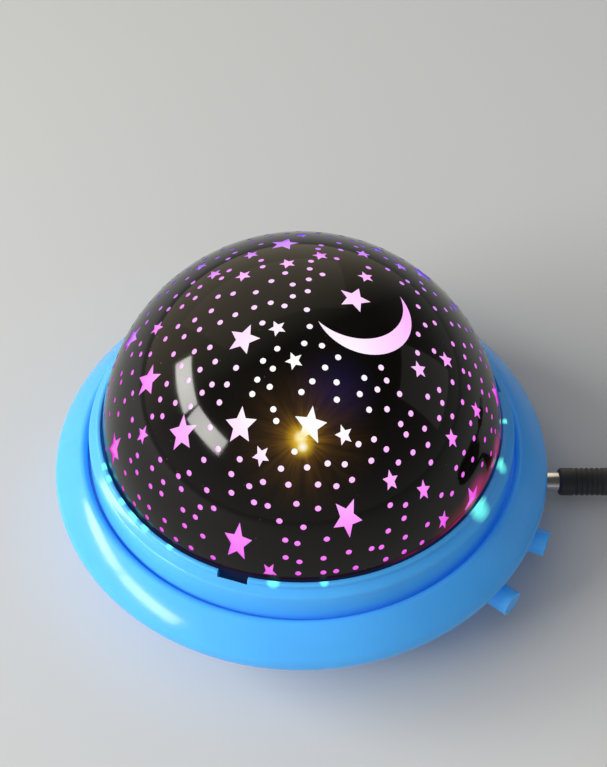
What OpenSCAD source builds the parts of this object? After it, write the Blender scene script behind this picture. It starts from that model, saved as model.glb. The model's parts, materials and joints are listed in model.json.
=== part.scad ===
// Star night light: a printed dome that a small geared motor turns on a round base.
// Millimetres, +Z up. The origin is the bottom centre of the base, and +X points out of the power socket.

/* [Dome] */
// Outer radius of the black star skin
dome_r = 55; // [52:0.5:56]
// Thickness of the star skin
skin_t = 0.4; // [0.3:0.1:0.6]
// Wall of the clear dome under the skin
dome_wall = 1.6; // [1.2:0.1:2.4]
// Height of the clear band between the dome's sphere centre and the skin's lower edge
skin_edge_h = 8.4; // [7.8:0.1:12]
// How far the dome's rim lies above its sphere centre
rim_h = 2; // [1:0.5:4]
// Angle that the dome turns through to unlock
twist_angle = 22; // [15:1:30]
// Number of bayonet lugs
lugs = 3; // [2:1:4]
// Width of a bayonet lug
lug_w = 6; // [4:0.5:8]
// Height of a bayonet lug
lug_h = 2; // [1.5:0.1:2.4]
// How far a lug stands out from the dome
lug_reach = 1.3; // [0.9:0.1:1.5]
// Azimuth of the first entry notch in the collar
notch_az = 252; // [240:1:260]

/* [Star windows] */
// Tip radius of a large star
star_r = 4.2; // [3:0.1:5]
// Tip radius of a small star
small_star_r = 2.3; // [1.5:0.1:3]
// Share of the tip radius at which a star's inner corners lie
star_waist = 0.46; // [0.38:0.01:0.55]
// Outer radius of the crescent moon
moon_r = 12.8; // [10:0.1:14]
// Radius of the round bite that makes the crescent
moon_bite_r = 13.1; // [12:0.1:15]
// Distance between the crescent's two circles
moon_offset = 4.8; // [4:0.1:6]
// Radius of a round dot
dot_r = 0.75; // [0.6:0.05:0.9]
// Distance between rows of dots
dot_row = 4.9; // [4.6:0.1:6]
// Distance between the dots of a row
dot_step = 5.4; // [5:0.1:7]
// Share of a dot's spacing by which it may leave its row
dot_scatter = 0.55; // [0:0.05:0.6]
// Bare skin kept between a dot and a star
dot_clear = 0.7; // [0.5:0.1:2]
// Share by which a window near the rim is drawn out, where the printed sheet was stretched over the dome
draw_out = 0.6; // [0:0.05:0.7]
// Share by which the same window is drawn in sideways
draw_in = 0.15; // [0:0.05:0.2]

/* [Turntable] */
// Wall of the collar outside the lug channel
collar_wall = 2.6; // [2.5:0.1:3.4]
// How much the collar leans in towards its top
collar_lean = 0.5; // [0:0.1:1]
// Height of the collar's shoulder above the housing's roof
collar_h = 6.9; // [6.5:0.1:8]
// Height of the lip above the shoulder's foot
lip_h = 1.6; // [1.2:0.1:2]
// Thickness of the lip
lip_t = 1.4; // [1.2:0.1:1.6]
// Wall of the skirt below the collar
skirt_t = 1.7; // [1.4:0.1:1.9]
// Reach of the retaining flange beyond the collar
flange_reach = 2.1; // [1.4:0.1:2.6]
// Thickness of the retaining flange
flange_t = 2.2; // [1.6:0.1:2.6]
// Height of the seat plate's underside above the flange's underside
plate_rise = 7; // [6.5:0.1:8]
// Thickness of the seat plate that the dome stands on
plate_t = 1.7; // [1.4:0.1:2.2]

/* [Gears] */
// Module of the drive gears
gear_module = 1; // [1:1:1]
// Teeth of the motor's pinion
pinion_teeth = 14; // [13:1:15]
// Width of the ring gear
ring_gear_w = 4.5; // [4:0.1:5]
// Rim behind the ring gear's teeth
ring_gear_rim = 1.8; // [1.4:0.1:2]
// Width of the pinion
pinion_w = 3.8; // [3:0.1:4]
// Play between the teeth
backlash = 0.3; // [0.2:0.05:0.4]

/* [Rollers] */
// Radius of a support roller
roller_r = 3.5; // [3:0.1:3.6]
// Length of a support roller
roller_l = 3.7; // [3:0.1:4]
// Distance from the inside of the turntable's skirt to a roller's middle
roller_in = 4.2; // [4.1:0.1:4.5]
// Radius of a roller's pin
roller_pin_r = 1; // [0.8:0.1:1.2]
// Thickness of the ears that hold a roller
ear_t = 1.4; // [1.2:0.1:1.5]
// Width of the ears
ear_w = 6; // [5:0.5:7]
// Number of rollers
rollers = 3; // [3:1:4]

/* [Housing] */
// How far the base's widest point stands out beyond the collar
ring_reach = 10.3; // [10:0.1:12]
// Rounding of the base at its widest
belly_round = 4.2; // [3.6:0.1:5]
// Height of the widest point below the roof
belly_drop = 8.1; // [7:0.1:9]
// Rounding of the roof's inner edge
roll_round = 1.6; // [1.2:0.1:1.8]
// Thickness of the roof over the turntable's flange
roof_t = 2.3; // [2:0.1:2.6]
// Wall of both housings
wall = 2; // [1.6:0.1:2.2]
// How far the parting line lies inside the base's widest point
parting_in = 11; // [10.5:0.1:11.4]
// Height of the parting line above the bottom face
parting_h = 6.5; // [6.3:0.1:7]
// Height of the deck's underside above the parting line
deck_rise = 13.5; // [13:0.1:15]
// Thickness of the deck
deck_t = 2; // [1.6:0.1:2.4]
// How far the edge of the flat bottom lies inside the parting line
bottom_in = 8.2; // [7.4:0.1:8.6]
// Rounding of the bottom edge
bottom_round = 3.4; // [3:0.1:3.8]
// Height of the locating lip at the parting line
locating_h = 1.6; // [1:0.1:1.6]

/* [Battery bay] */
// Diameter of a cell
cell_d = 10.5; // [10.2:0.1:10.6]
// Length of a cell
cell_l = 44.5; // [44:0.1:45]
// Number of cells
cells = 4; // [3:1:4]
// Room at the cells' ends for the springs and plates
spring_room = 6; // [5:0.1:6]
// Wall of the bay
bay_wall = 1.6; // [1.2:0.1:1.8]
// Thickness of the battery cover
cover_t = 2; // [1.8:0.1:2.2]
// Width of the ledge that the cover lies against
cover_ledge = 2.8; // [2.4:0.1:3]
// Radius of the cover's hinge trunnions
trunnion_r = 0.9; // [0.7:0.1:1]
// Length of the latch tongue
latch_l = 9; // [7:0.5:12]
// Width of the latch tongue
latch_w = 9; // [7:0.5:12]

/* [Motor] */
// Radius of the motor's can
motor_r = 10; // [9:0.1:10]
// Height of the motor's can and gearbox
motor_h = 13; // [10:0.5:13]
// Radius of the output shaft
shaft_r = 1.5; // [1.2:0.1:1.8]
// Distance from the shaft to a mounting screw
motor_ear_at = 13.5; // [13:0.1:15]

/* [Lights] */
// Radius of a lamp's lens
led_r = 2.5; // [2:0.1:2.6]
// Height of a lamp
led_h = 8.6; // [7:0.1:9]
// Distance from the axis to the colour lamps
led_at = 18; // [16:0.1:18.5]
// Radius of the lamp board
led_board_r = 26; // [24:0.5:26.5]
// Thickness of the boards
board_t = 1.6; // [1.2:0.1:1.7]

/* [Buttons] */
// Radius of a push button
button_r = 3.5; // [3:0.1:3.7]
// How far the buttons' faces stand out beyond the base's widest point
button_out = 3.1; // [2:0.1:4.5]
// Height of the buttons' axes above the parting line
button_rise = 6.3; // [6.2:0.1:7]
// Azimuth of the midpoint between the buttons
buttons_az = -30.3; // [-34:0.1:-30]
// Angle between the two buttons
buttons_apart = 17.8; // [17:0.1:20]
// Travel of a button
button_travel = 0.8; // [0.4:0.1:0.9]

/* [Power socket] */
// Radius of the boss around the socket
socket_boss_r = 6.3; // [6:0.1:6.4]
// How far the socket's face stands out beyond the base's widest point
socket_out = 0.3; // [0.1:0.1:0.8]
// Length of the socket's body
socket_l = 14; // [12:0.5:15]
// Radius of the socket's body
socket_r = 4.5; // [4.2:0.1:4.7]
// Radius of the plug's metal barrel
barrel_r = 2.75; // [2.7:0.05:2.8]

/* [Power lead] */
// Length of the metal barrel outside the socket
barrel_shows = 5; // [3:0.1:6]
// Radius of the plug's grip
grip_r = 4; // [3.6:0.1:4.4]
// Length of the plug's grip
grip_l = 17; // [16.8:0.1:17.2]
// Length of the tapered strain relief
relief_l = 12; // [11.8:0.1:12.2]
// Diameter of the lead
lead_d = 3.5; // [3.2:0.1:3.8]

/* [Fasteners and feet] */
// Radius of a housing screw's shank
screw_r = 1.3; // [1.1:0.1:1.4]
// Radius of a housing screw's head
screw_head_r = 2.8; // [2.4:0.1:2.9]
// How far the housing screws lie inside the parting line
screw_in = 11.2; // [10.6:0.1:11.6]
// Radius of the small screws inside
small_screw_r = 1; // [0.8:0.1:1.1]
// Radius of a rubber foot
foot_r = 5; // [4:0.1:5]
// Height of a rubber foot below the bottom face
foot_h = 1; // [0.8:0.1:1.5]
// Depth of a foot's recess
foot_recess = 1; // [0.6:0.1:1.2]
// How far the feet lie inside the edge of the flat bottom
foot_in = 5.5; // [5.2:0.1:6]

/* [Hidden] */
$fn = 96;
PART_FACE = 0.01;
RUN_GAP = 0.3;
EDGE_GAP = 0.6;
FIT = 0.05;
SLIDE = 0.15;

// Heights, from the table up.
bottom_z = foot_h;
floor_z = bottom_z + wall;
parting_z = bottom_z + parting_h;
deck_z = parting_z + deck_rise;
deck_top_z = deck_z + deck_t;
flange_z = deck_top_z + 1;
roof_z = flange_z + flange_t + EDGE_GAP + roof_t;
belly_z = roof_z - belly_drop;
shoulder_z = roof_z + collar_h;
plate_z = flange_z + plate_rise;
seat_z = plate_z + plate_t;
rim_z = seat_z + RUN_GAP;
centre_z = rim_z - rim_h;
lug_roof_z = rim_z + lug_h + RUN_GAP;
groove_z = shoulder_z + 0.7;
lip_z = groove_z + lip_h;
roller_z = plate_z - RUN_GAP - roller_r;
button_z = parting_z + button_rise;
gear_z = plate_z - ring_gear_w;

// Radii, from the dome outwards.
clear_r = dome_r - skin_t;
lip_r = clear_r + RUN_GAP;
lug_r = clear_r + lug_reach;
channel_r = lug_r + RUN_GAP + 0.1;
collar_r = channel_r + collar_wall;
skirt_r = collar_r - skirt_t;
ring_r = collar_r + ring_reach;
parting_r = ring_r - parting_in;
bottom_r = parting_r - bottom_in;
flange_r = collar_r + flange_reach;
opening_r = collar_r + EDGE_GAP;
well_r = flange_r + 0.5;
belly_r = ring_r - belly_round;
roller_at = skirt_r - roller_in;
ring_gear_room = roller_at - roller_l / 2 - RUN_GAP - ear_t - 3 * RUN_GAP;
ring_teeth = round(2 * (ring_gear_room - ring_gear_rim) / gear_module - 2.5);
ring_pitch_r = ring_teeth * gear_module / 2;
pinion_pitch_r = pinion_teeth * gear_module / 2;
gear_rim_r = ring_pitch_r + 1.25 * gear_module + ring_gear_rim;
motor_at = ring_pitch_r - pinion_pitch_r;

// Battery bay.
cell_pitch = cell_d + 0.4;
bay_x = (cell_l + spring_room) / 2;
bay_y = cells * cell_pitch / 2;
cover_z = bottom_z + 0.2;
cover_top_z = cover_z + cover_t;
ledge_z = cover_top_z + 0.2;
bay_roof_z = ledge_z + cell_d + 1;
cover_ribs = 3;
rib_w = 0.7;
rib_h = 0.25;
rib_step = 1.4;
cover_x = bay_x + cover_ledge;
cover_y = bay_y + cover_ledge;
hinge_z = cover_z + cover_t / 2;
hinge_y = cover_y;
recess_x = cover_x + RUN_GAP;
recess_front_y = cover_y + 0.5;
recess_back_y = hinge_y + cover_t / 2 + 0.5;
frame_wall = 2;
spring_wire = 0.4;
spring_r = 3.4;

// Screws and feet.
screw_at = parting_r - screw_in;
foot_at = bottom_r - foot_in;
screw_l = 9.6;
screw_head_h = 2;
small_head_r = 2;
small_head_h = 1.2;
deck_head_r = 1.8;
deck_bite = 2.4;
motor_bite = 0.6;
board_bite = 4;
motor_drop = 3;
motor_ear_t = 1.2;
motor_ear_r = 2.6;
shaft_in = 3;

// Boards and switches.
button_face_at = ring_r + button_out;
key_in_at = parting_r - 2.8;
switch_l = 4.5;
switch_w = 6;
board_z = button_z - switch_w / 2 - board_t;
board_to = key_in_at - 2.4;
board_l = 17;
board_w = 30;
led_board_z = deck_z - 2.2 - board_t;
led_base_z = led_board_z + board_t;
key_flange_t = 1.2;
switch_front_at = key_in_at - 3.5;
plunger_r = 1.7;
plunger_back_at = switch_front_at - 0.9;

// Power plug.
socket_face_at = ring_r + socket_out;
socket_depth = 8;
barrel_in = 6;
grip_x = socket_face_at + barrel_shows;
relief_x = grip_x + grip_l;
lead_x = relief_x + relief_l;
relief_rings = 6;
grip_grooves = 6;
groove_step = 1.5;
groove_w = 0.8;
groove_d = 0.28;

// Angles of what repeats.
roller_angles = [for (i = [0 : rollers - 1]) 30 + i * 360 / rollers];
deck_screw_angles = [90, 210, 330];
screw_angles = [25, 155, 270];
foot_angles = [52, 128, 232, 308];
key_angles = [buttons_az + buttons_apart / 2, buttons_az - buttons_apart / 2];
led_angles = [70, 190, 310];
deck_lug_r = 1.9;
deck_screw_at = well_r + deck_lug_r + 0.1;
board_posts = [for (side = [1, -1]) [board_to - board_l / 2, side * (board_w / 2 - 2.5)]];
led_posts = [10, 130, 250];
led_post_at = led_board_r - 3.5;

// Stars on the dome: azimuth, elevation and roll of each, in degrees. Roll 0 points a tip at the top.
large_stars = [
    [-136, 69, 21], [-114, 49, 16], [-86.5, 51.5, -12], [-8, 76, -27], [-160, 41.5, -26], [-134, 40, 33],
    [-77, 26.5, -33], [-107.5, 18, -1], [102, 66.5, 9], [173, 34.5, 27], [-2.5, 18.5, 33], [-35.5, 9.5, 15],
    [35, 44, 30], [75, 40, 20], [115, 36, -15], [145, 22, 10], [60, 19, -10], [95, 16, 25], [-158, 17, -20],
];
small_stars = [
    [-116.5, 76, -22], [-95, 68, 27], [-104, 43, -36], [-74, 48, 6], [179.5, 47.5, -27], [-148, 31, 10],
    [127.5, 67, 22], [109, 78.5, -33], [90, 59, 15], [153.5, 72.5, -5], [152.5, 62.5, -2], [143.5, 53, 7],
    [71.5, 74, 3], [24.5, 71, -21], [50, 63, 0], [52, 53, 15], [36, 54, 30], [21, 37, 0],
    [-30, 52.5, 33], [-15.5, 46.5, 19], [-20, 30, 22], [-36, 32.5, -33], [-62, 33, -7], [-52.5, 26, -18],
    [-48, 13, -27], [-98.5, 10, -30], [98, 46, 0], [124, 24, 20], [160, 15, 0], [80, 26, 10], [40, 22, 0], [15, 15, 25],
];
// Direction and roll of the crescent's outer circle.
moon_az = -16.5;
moon_el = 72.7;
moon_roll = -42;

// Rows of dots, from the skin's lower edge to the top.
first_row_el = asin((skin_edge_h + dot_r * (1 + draw_out) + 0.2) / dome_r);
dot_rows = floor((88 - first_row_el) / dome_angle(dot_row));

// The lead from the strain relief to its coil, and from the coil to the supply plug.
lead_z = lead_d / 2;
lead_straight = 7.25;
lead_bend = 17;
coil_w = 3 * lead_d;
coil_h = 4 * lead_d;
coil_out_r = 22.5;
coil_mid_r = coil_out_r + lead_z - coil_w / 2;
coil_x = lead_x + lead_straight + lead_bend + coil_out_r;
coil_y = -lead_bend;
usb_z = 4;
tail_x = coil_x + coil_out_r;
LEAD_ROUTE = [for (s = [0 : 3.4 : 34]) let (turn = max(0, s - lead_straight) / lead_bend * 180 / PI) [
    lead_x + min(s, lead_straight) + lead_bend * sin(turn),
    -lead_bend * (1 - cos(turn)),
    eased(parting_z, lead_z, (s - 2) / 30),
]];
TAIL_ROUTE = [for (y = [-9 : 4 : 23]) [tail_x, y, eased(coil_h - lead_z, usb_z, (y + 4) / 23)]];
usb_rear = [tail_x, 23, usb_z];
usb_relief_l = 7;
usb_grip_l = 20;
usb_grip_w = 15;
usb_grip_h = 8;
usb_shell_l = 12;
usb_shell_w = 12;
usb_shell_h = 4.5;

BLUE = [0.28, 0.66, 0.96];
SKIN = [0.02, 0.02, 0.03];
BOARD = [0.05, 0.35, 0.16];
STEEL = [0.75, 0.76, 0.78];
BLACK = [0.06, 0.06, 0.07];
WHITE = [0.93, 0.93, 0.9];

// A value that goes gently from one number to another as t goes from 0 to 1.
function eased(from, to, t) = from + (to - from) * (1 - cos(180 * min(1, max(0, t)))) / 2;

// Points on an arc, from angle a to angle b.
function arc(cx, cy, r, a, b, n = 6) =
    [for (i = [0 : n]) let (t = a + (b - a) * i / n) [cx + r * cos(t), cy + r * sin(t)]];

// Angle at the dome's centre over a distance on its surface, in degrees.
function dome_angle(distance) = distance / dome_r * 180 / PI;

// A unit vector from an azimuth and an elevation.
function direction(azimuth, elevation) =
    [cos(elevation) * cos(azimuth), cos(elevation) * sin(azimuth), sin(elevation)];

// A number between -0.5 and 0.5 that looks random, the same one for the same row and place.
function scatter(row, place, seed) = let (x = 43 * sin(37 * row + 91 * place + seed)) x - floor(x) - 0.5;

// How far a window at an elevation is drawn out towards the rim, and drawn in sideways.
function drawn_out(elevation) = 1 + draw_out * (1 - sin(elevation));
function drawn_in(elevation) = 1 - draw_in * (1 - sin(elevation));

// Whether a direction keeps clear of every shape in a list by its size and the bare skin.
function clear_of(d, shapes, size) =
    len([for (s = shapes) if (d * direction(s[0], s[1]) > cos(dome_angle((size + dot_r) * drawn_out(s[1]) + dot_clear))) 1])
    == 0;

// Azimuth and elevation of each dot that keeps clear of the stars and the moon.
function dots() = [
    for (row = [0 : dot_rows])
        let (el = first_row_el + row * dome_angle(dot_row), n = max(1, round(2 * PI * dome_r * cos(el) / dot_step)))
        for (place = [0 : n - 1])
            let (
                az = (place + row % 2 / 2 + dot_scatter * scatter(row, place, 0)) * 360 / n,
                up = row == 0 ? el : el + dot_scatter * dome_angle(dot_row) * scatter(row, place, 53),
                d = direction(az, up)
            )
            if (
                clear_of(d, large_stars, star_r) && clear_of(d, small_stars, small_star_r)
                && clear_of(d, [[moon_az, moon_el]], moon_r)
            )
                [az, up]
];

// Involute of an angle, in degrees.
function inv(a) = tan(a) * 180 / PI - a;

// Half of a tooth's angle at radius r, for a gear with pitch radius p and half angle h on it.
function tooth_half(r, p, h) =
    let (base = p * cos(20)) h + inv(20) - (r > base ? inv(acos(base / r)) : 0);

// A gear's outline. The flanks run through the given radii, from the root to the tip.
module gear_outline(teeth, module_size, radii, extra) {
    p = teeth * module_size / 2;
    h = 90 / teeth + extra / p * 90 / PI;
    n = len(radii) - 1;
    points = [for (i = [0 : teeth - 1]) each concat(
        [for (k = [0 : n]) let (t = 360 * i / teeth - tooth_half(radii[k], p, h)) radii[k] * [cos(t), sin(t)]],
        [for (k = [n : -1 : 0]) let (t = 360 * i / teeth + tooth_half(radii[k], p, h)) radii[k] * [cos(t), sin(t)]]
    )];
    polygon(points);
}

// What it holds, at a distance from the axis and an azimuth, with its own X outwards.
module at(azimuth, distance = 0) {
    rotate([0, 0, azimuth]) translate([distance, 0, 0]) children();
}

// A cylinder or tube that points outwards, from one distance to another.
module radial(azimuth, from, to, z, r, bore = 0) {
    at(azimuth, from) translate([0, 0, z]) rotate([0, 90, 0]) difference() {
        cylinder(h = to - from, r = r);
        if (bore > 0) translate([0, 0, -1]) cylinder(h = to - from + 2, r = bore);
    }
}

// An upright box, centred in X and Y.
module block(x, y, z0, z1) {
    translate([-x / 2, -y / 2, z0]) cube([x, y, z1 - z0]);
}

// A screw that points up from its head.
module screw(r, head_r, head_h, length, z) {
    translate([0, 0, z - head_h]) cylinder(h = head_h, r = head_r);
    translate([0, 0, z - PART_FACE]) cylinder(h = length + PART_FACE, r = r);
}

/* --- Housings --- */

// Outer outline of the upper housing from the parting line to the roof's inner edge.
function upper_outline(inset) = concat(
    arc(belly_r, belly_z, belly_round - inset, -43, 40, 8),
    arc(opening_r + roll_round, roof_z - roll_round, roll_round, 60, 180, 6)
);

// The upper housing's outside, filled in.
module upper_outside() {
    rotate_extrude() polygon(concat([[0, parting_z], [parting_r, parting_z]], upper_outline(0), [[0, roof_z - roll_round]]));
}

module upper_shell() {
    under_z = flange_z + flange_t + EDGE_GAP;
    slant = wall / sin(47);
    rotate_extrude() polygon(concat(
        [[parting_r - slant, parting_z], [parting_r, parting_z]],
        upper_outline(0),
        [[opening_r, under_z], [well_r, under_z], [well_r, deck_top_z], [well_r + wall - 0.2, deck_top_z]],
        [[well_r + wall - 0.2, roof_z - 4]],
        arc(belly_r, belly_z, belly_round - wall, 40, -43, 6)
    ));
}

// A post that a housing screw bites into, tied to the wall by a rib.
module screw_post() {
    intersection() {
        union() {
            for (a = screw_angles) {
                at(a, screw_at) translate([0, 0, parting_z]) cylinder(h = deck_z - parting_z - 1, r = 3.7);
                at(a, screw_at + 10) block(20, 2, parting_z + locating_h + RUN_GAP, deck_z - 3);
            }
        }
        upper_outside();
    }
}

// Sleeves that guide the two buttons.
module button_sleeves() {
    intersection() {
        for (a = key_angles) radial(a, key_in_at + key_flange_t + RUN_GAP, ring_r, button_z, button_r + 1.5);
        upper_outside();
    }
}

module socket_boss(lower) {
    intersection() {
        radial(0, parting_r - 4, socket_face_at, parting_z, socket_boss_r);
        translate([0, -20, lower ? bottom_z : parting_z]) cube([100, 40, lower ? parting_h : 20]);
    }
}

module socket_pocket() {
    radial(0, socket_face_at - socket_l - RUN_GAP, socket_face_at + 1, parting_z, socket_r + FIT);
}

module upper_housing() {
    color(BLUE) difference() {
        union() {
            upper_shell();
            screw_post();
            button_sleeves();
            socket_boss(false);
            for (a = deck_screw_angles)
                at(a, deck_screw_at) translate([0, 0, deck_top_z]) cylinder(h = roof_z - 3.6 - deck_top_z, r = deck_lug_r);
        }
        for (a = key_angles) radial(a, key_in_at, ring_r + 5, button_z, button_r + SLIDE);
        for (a = screw_angles)
            at(a, screw_at) translate([0, 0, parting_z - 1]) cylinder(h = screw_l + 1.4, r = screw_r + FIT);
        for (a = deck_screw_angles)
            at(a, deck_screw_at) translate([0, 0, deck_top_z - 1]) cylinder(h = 4, r = small_screw_r + FIT);
        socket_pocket();
    }
}

function bottom_edge() = arc(bottom_r, bottom_z + bottom_round, bottom_round, -90, -30, 5);

// The lower housing's outside, filled in, with the room above it.
module lower_outside() {
    rotate_extrude() polygon(concat(
        [[0, bottom_z]], bottom_edge(), [[parting_r, parting_z], [parting_r, deck_z], [0, deck_z]]
    ));
}

// The pan, from its centre out to the parting line.
module lower_pan() {
    inside = arc(bottom_r, bottom_z + bottom_round, bottom_round - wall, -90, -30, 3);
    rim_in = parting_r - wall / sin(47);
    rotate_extrude() polygon(concat(
        [[0, bottom_z]], bottom_edge(),
        [[parting_r, parting_z], [rim_in - RUN_GAP, parting_z], [rim_in - RUN_GAP, parting_z + locating_h]],
        [[rim_in - RUN_GAP - 1.4, parting_z + locating_h], [rim_in - RUN_GAP - 1.4, parting_z - 1]],
        [for (i = [3 : -1 : 0]) inside[i]],
        [[0, floor_z]]
    ));
}

// Walls of the battery bay and the frame that the cover lies in.
module bay_block() {
    block(2 * (bay_x + bay_wall), 2 * (bay_y + bay_wall), bottom_z, bay_roof_z + bay_wall);
    back = recess_back_y + frame_wall;
    front = recess_front_y + frame_wall;
    translate([-recess_x - frame_wall, -front, bottom_z])
        cube([2 * (recess_x + frame_wall), front + back, ledge_z + 1.6 - bottom_z]);
}

// Everything that is cut out for the cells and their cover.
module bay_room() {
    block(2 * bay_x, 2 * bay_y, bottom_z - 1, bay_roof_z);
    translate([-recess_x, -recess_front_y, bottom_z - 1])
        cube([2 * recess_x, recess_front_y + recess_back_y, ledge_z - bottom_z + 1]);
    // Bearings for the cover's trunnions.
    translate([-recess_x - 1.7, hinge_y, hinge_z]) rotate([0, 90, 0])
        cylinder(h = 2 * recess_x + 3.4, r = trunnion_r + FIT);
    // Pocket for the latch and a scoop for a finger.
    translate([-latch_w / 2, -recess_front_y - 0.9, hinge_z - 0.3]) cube([latch_w, 1.4, ledge_z - hinge_z + 0.3]);
    translate([0, -recess_front_y, bottom_z - 1]) cylinder(h = 1.9, r = 6);
}

module lower_housing() {
    color(BLUE) difference() {
        union() {
            lower_pan();
            bay_block();
            socket_boss(true);
            intersection() {
                union() {
                    for (a = screw_angles)
                        at(a, screw_at) translate([0, 0, bottom_z]) cylinder(h = parting_h, r = 4.4);
                    for (a = foot_angles)
                        at(a, foot_at) translate([0, 0, bottom_z]) cylinder(h = foot_recess + wall, r = foot_r + 1.4);
                }
                lower_outside();
            }
            at(buttons_az) for (p = board_posts)
                translate([p[0], p[1], bottom_z]) cylinder(h = board_z - bottom_z, r = 2.5);
        }
        bay_room();
        socket_pocket();
        // The locating lip stops short of the socket's boss.
        at(0, parting_r - 5) block(10, 2 * (socket_boss_r + RUN_GAP), parting_z, deck_z);
        for (a = screw_angles) at(a, screw_at) {
            translate([0, 0, bottom_z - 1]) cylinder(h = parting_h - 0.6, r = screw_head_r + 0.5);
            cylinder(h = parting_z + 1, r = screw_r + 0.3);
        }
        for (a = foot_angles)
            at(a, foot_at) translate([0, 0, bottom_z - 1]) cylinder(h = 1 + foot_recess, r = foot_r + FIT);
        at(buttons_az) for (p = board_posts)
            translate([p[0], p[1], board_z - 5]) cylinder(h = 6, r = small_screw_r + FIT);
    }
}

/* --- Deck, turntable and drive --- */

module roller_ears(a) {
    room = roller_l / 2 + RUN_GAP;
    for (side = [-1, 1]) at(a, roller_at + side * (room + ear_t / 2)) {
        block(ear_t, ear_w, deck_top_z - PART_FACE, roller_z);
        translate([-ear_t / 2, 0, roller_z]) rotate([0, 90, 0]) cylinder(h = ear_t, r = min(ear_w / 2, roller_r - 0.6));
    }
}

module deck() {
    color(WHITE) difference() {
        union() {
            translate([0, 0, deck_z]) cylinder(h = deck_t, r = well_r + 1);
            for (a = deck_screw_angles)
                at(a, deck_screw_at) translate([0, 0, deck_z]) cylinder(h = deck_t, r = deck_lug_r);
            for (a = roller_angles) roller_ears(a);
            for (a = led_posts) at(a, led_post_at) {
                translate([0, 0, led_base_z]) cylinder(h = deck_z - led_base_z + PART_FACE, r = 2.2);
                translate([0, 0, led_board_z - 0.5]) cylinder(h = deck_z - led_board_z, r = small_screw_r - FIT);
            }
            for (side = [-1, 1])
                translate([side * motor_ear_at, motor_at, deck_z - motor_drop + 1.2])
                    cylinder(h = motor_drop - 1.2 + PART_FACE, r = 2.4);
        }
        for (a = deck_screw_angles)
            at(a, deck_screw_at) translate([0, 0, deck_z - 1]) cylinder(h = deck_t + 2, r = small_screw_r + 0.2);
        for (a = roller_angles)
            radial(a, roller_at - 6, roller_at + 6, roller_z, roller_pin_r + FIT);
        translate([0, 0, deck_z - 1]) cylinder(h = deck_t + 2, r = led_r + 1);
        for (a = led_angles) at(a, led_at) translate([0, 0, deck_z - 1]) cylinder(h = deck_t + 2, r = led_r + 1);
        translate([0, motor_at, deck_z - 1]) cylinder(h = deck_t + 2, r = 4.2);
        for (side = [-1, 1])
            translate([side * motor_ear_at, motor_at, deck_z - motor_drop])
                cylinder(h = motor_drop + 1, r = small_screw_r + FIT);
    }
}

// Section of the turntable: flange, skirt, collar, shoulder, lip, lug channel and seat plate.
module turntable_section() {
    top_r = collar_r - collar_lean;
    edge = 0.9;
    polygon(concat(
        [[skirt_r, flange_z], [flange_r, flange_z], [flange_r, flange_z + flange_t]],
        [[collar_r, flange_z + flange_t]],
        arc(top_r - edge, shoulder_z - edge, edge, 0, 70, 4),
        [[channel_r + 0.3, groove_z]],
        [[lip_r + lip_t - 0.1, groove_z + 0.3]],
        arc(lip_r + lip_t - 0.6, lip_z - 0.5, 0.5, 0, 90, 3),
        arc(lip_r + 0.4, lip_z - 0.4, 0.4, 90, 180, 3),
        [[lip_r, lug_roof_z], [channel_r, lug_roof_z], [channel_r, seat_z]],
        [[gear_rim_r - ring_gear_rim / 2, seat_z], [gear_rim_r - ring_gear_rim / 2, plate_z], [skirt_r, plate_z]]
    ));
}

module turntable() {
    color(BLUE) difference() {
        union() {
            rotate_extrude() turntable_section();
            translate([0, 0, gear_z]) linear_extrude(seat_z - gear_z) difference() {
                circle(r = gear_rim_r);
                rotate(90) gear_outline(ring_teeth, gear_module,
                    [ring_pitch_r - 0.9 * gear_module, ring_pitch_r + 1.25 * gear_module], backlash / 2);
            }
        }
        for (i = [0 : lugs - 1])
            at(notch_az + i * 360 / lugs) translate([lip_r - 1, -lug_w / 2 - 1, lug_roof_z - 1])
                cube([channel_r - lip_r + 1, lug_w + 2, lip_z - lug_roof_z + 2]);
    }
}

module pinion() {
    hub_z = deck_top_z + 0.6;
    top_z = plate_z - 0.4;
    color(WHITE) difference() {
        union() {
            translate([0, motor_at, hub_z]) cylinder(h = top_z - hub_z, r = pinion_pitch_r - 2.5 * gear_module);
            translate([0, motor_at, top_z - pinion_w]) linear_extrude(pinion_w) rotate(90)
                gear_outline(pinion_teeth, gear_module, [
                    pinion_pitch_r - 1.25 * gear_module,
                    pinion_pitch_r - 0.4 * gear_module,
                    pinion_pitch_r + 0.3 * gear_module,
                    pinion_pitch_r + 0.9 * gear_module
                ], -backlash / 2);
        }
        translate([0, motor_at, hub_z - 1]) cylinder(h = top_z - hub_z + 2, r = shaft_r);
    }
}

module motor_shaft() {
    foot_z = deck_z - motor_drop - shaft_in;
    color(STEEL) translate([0, motor_at, foot_z]) cylinder(h = plate_z - 0.4 - foot_z, r = shaft_r);
}

// The motor's can, with a rolled lower edge and two grooves round it.
module motor_can(from, to) {
    roll = 0.9;
    groove = 0.25;
    rotate_extrude() polygon(concat(
        [[0, from]],
        arc(motor_r - roll, from + roll, roll, -90, 0, 5),
        [for (h = [0.33, 0.66]) let (z = from + h * motor_h) each [
            [motor_r, z], [motor_r - groove, z + groove],
            [motor_r - groove, z + 2 * groove], [motor_r, z + 3 * groove]
        ]],
        [[motor_r, to - 0.4], [motor_r - 0.4, to], [0, to]]
    ));
}

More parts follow.
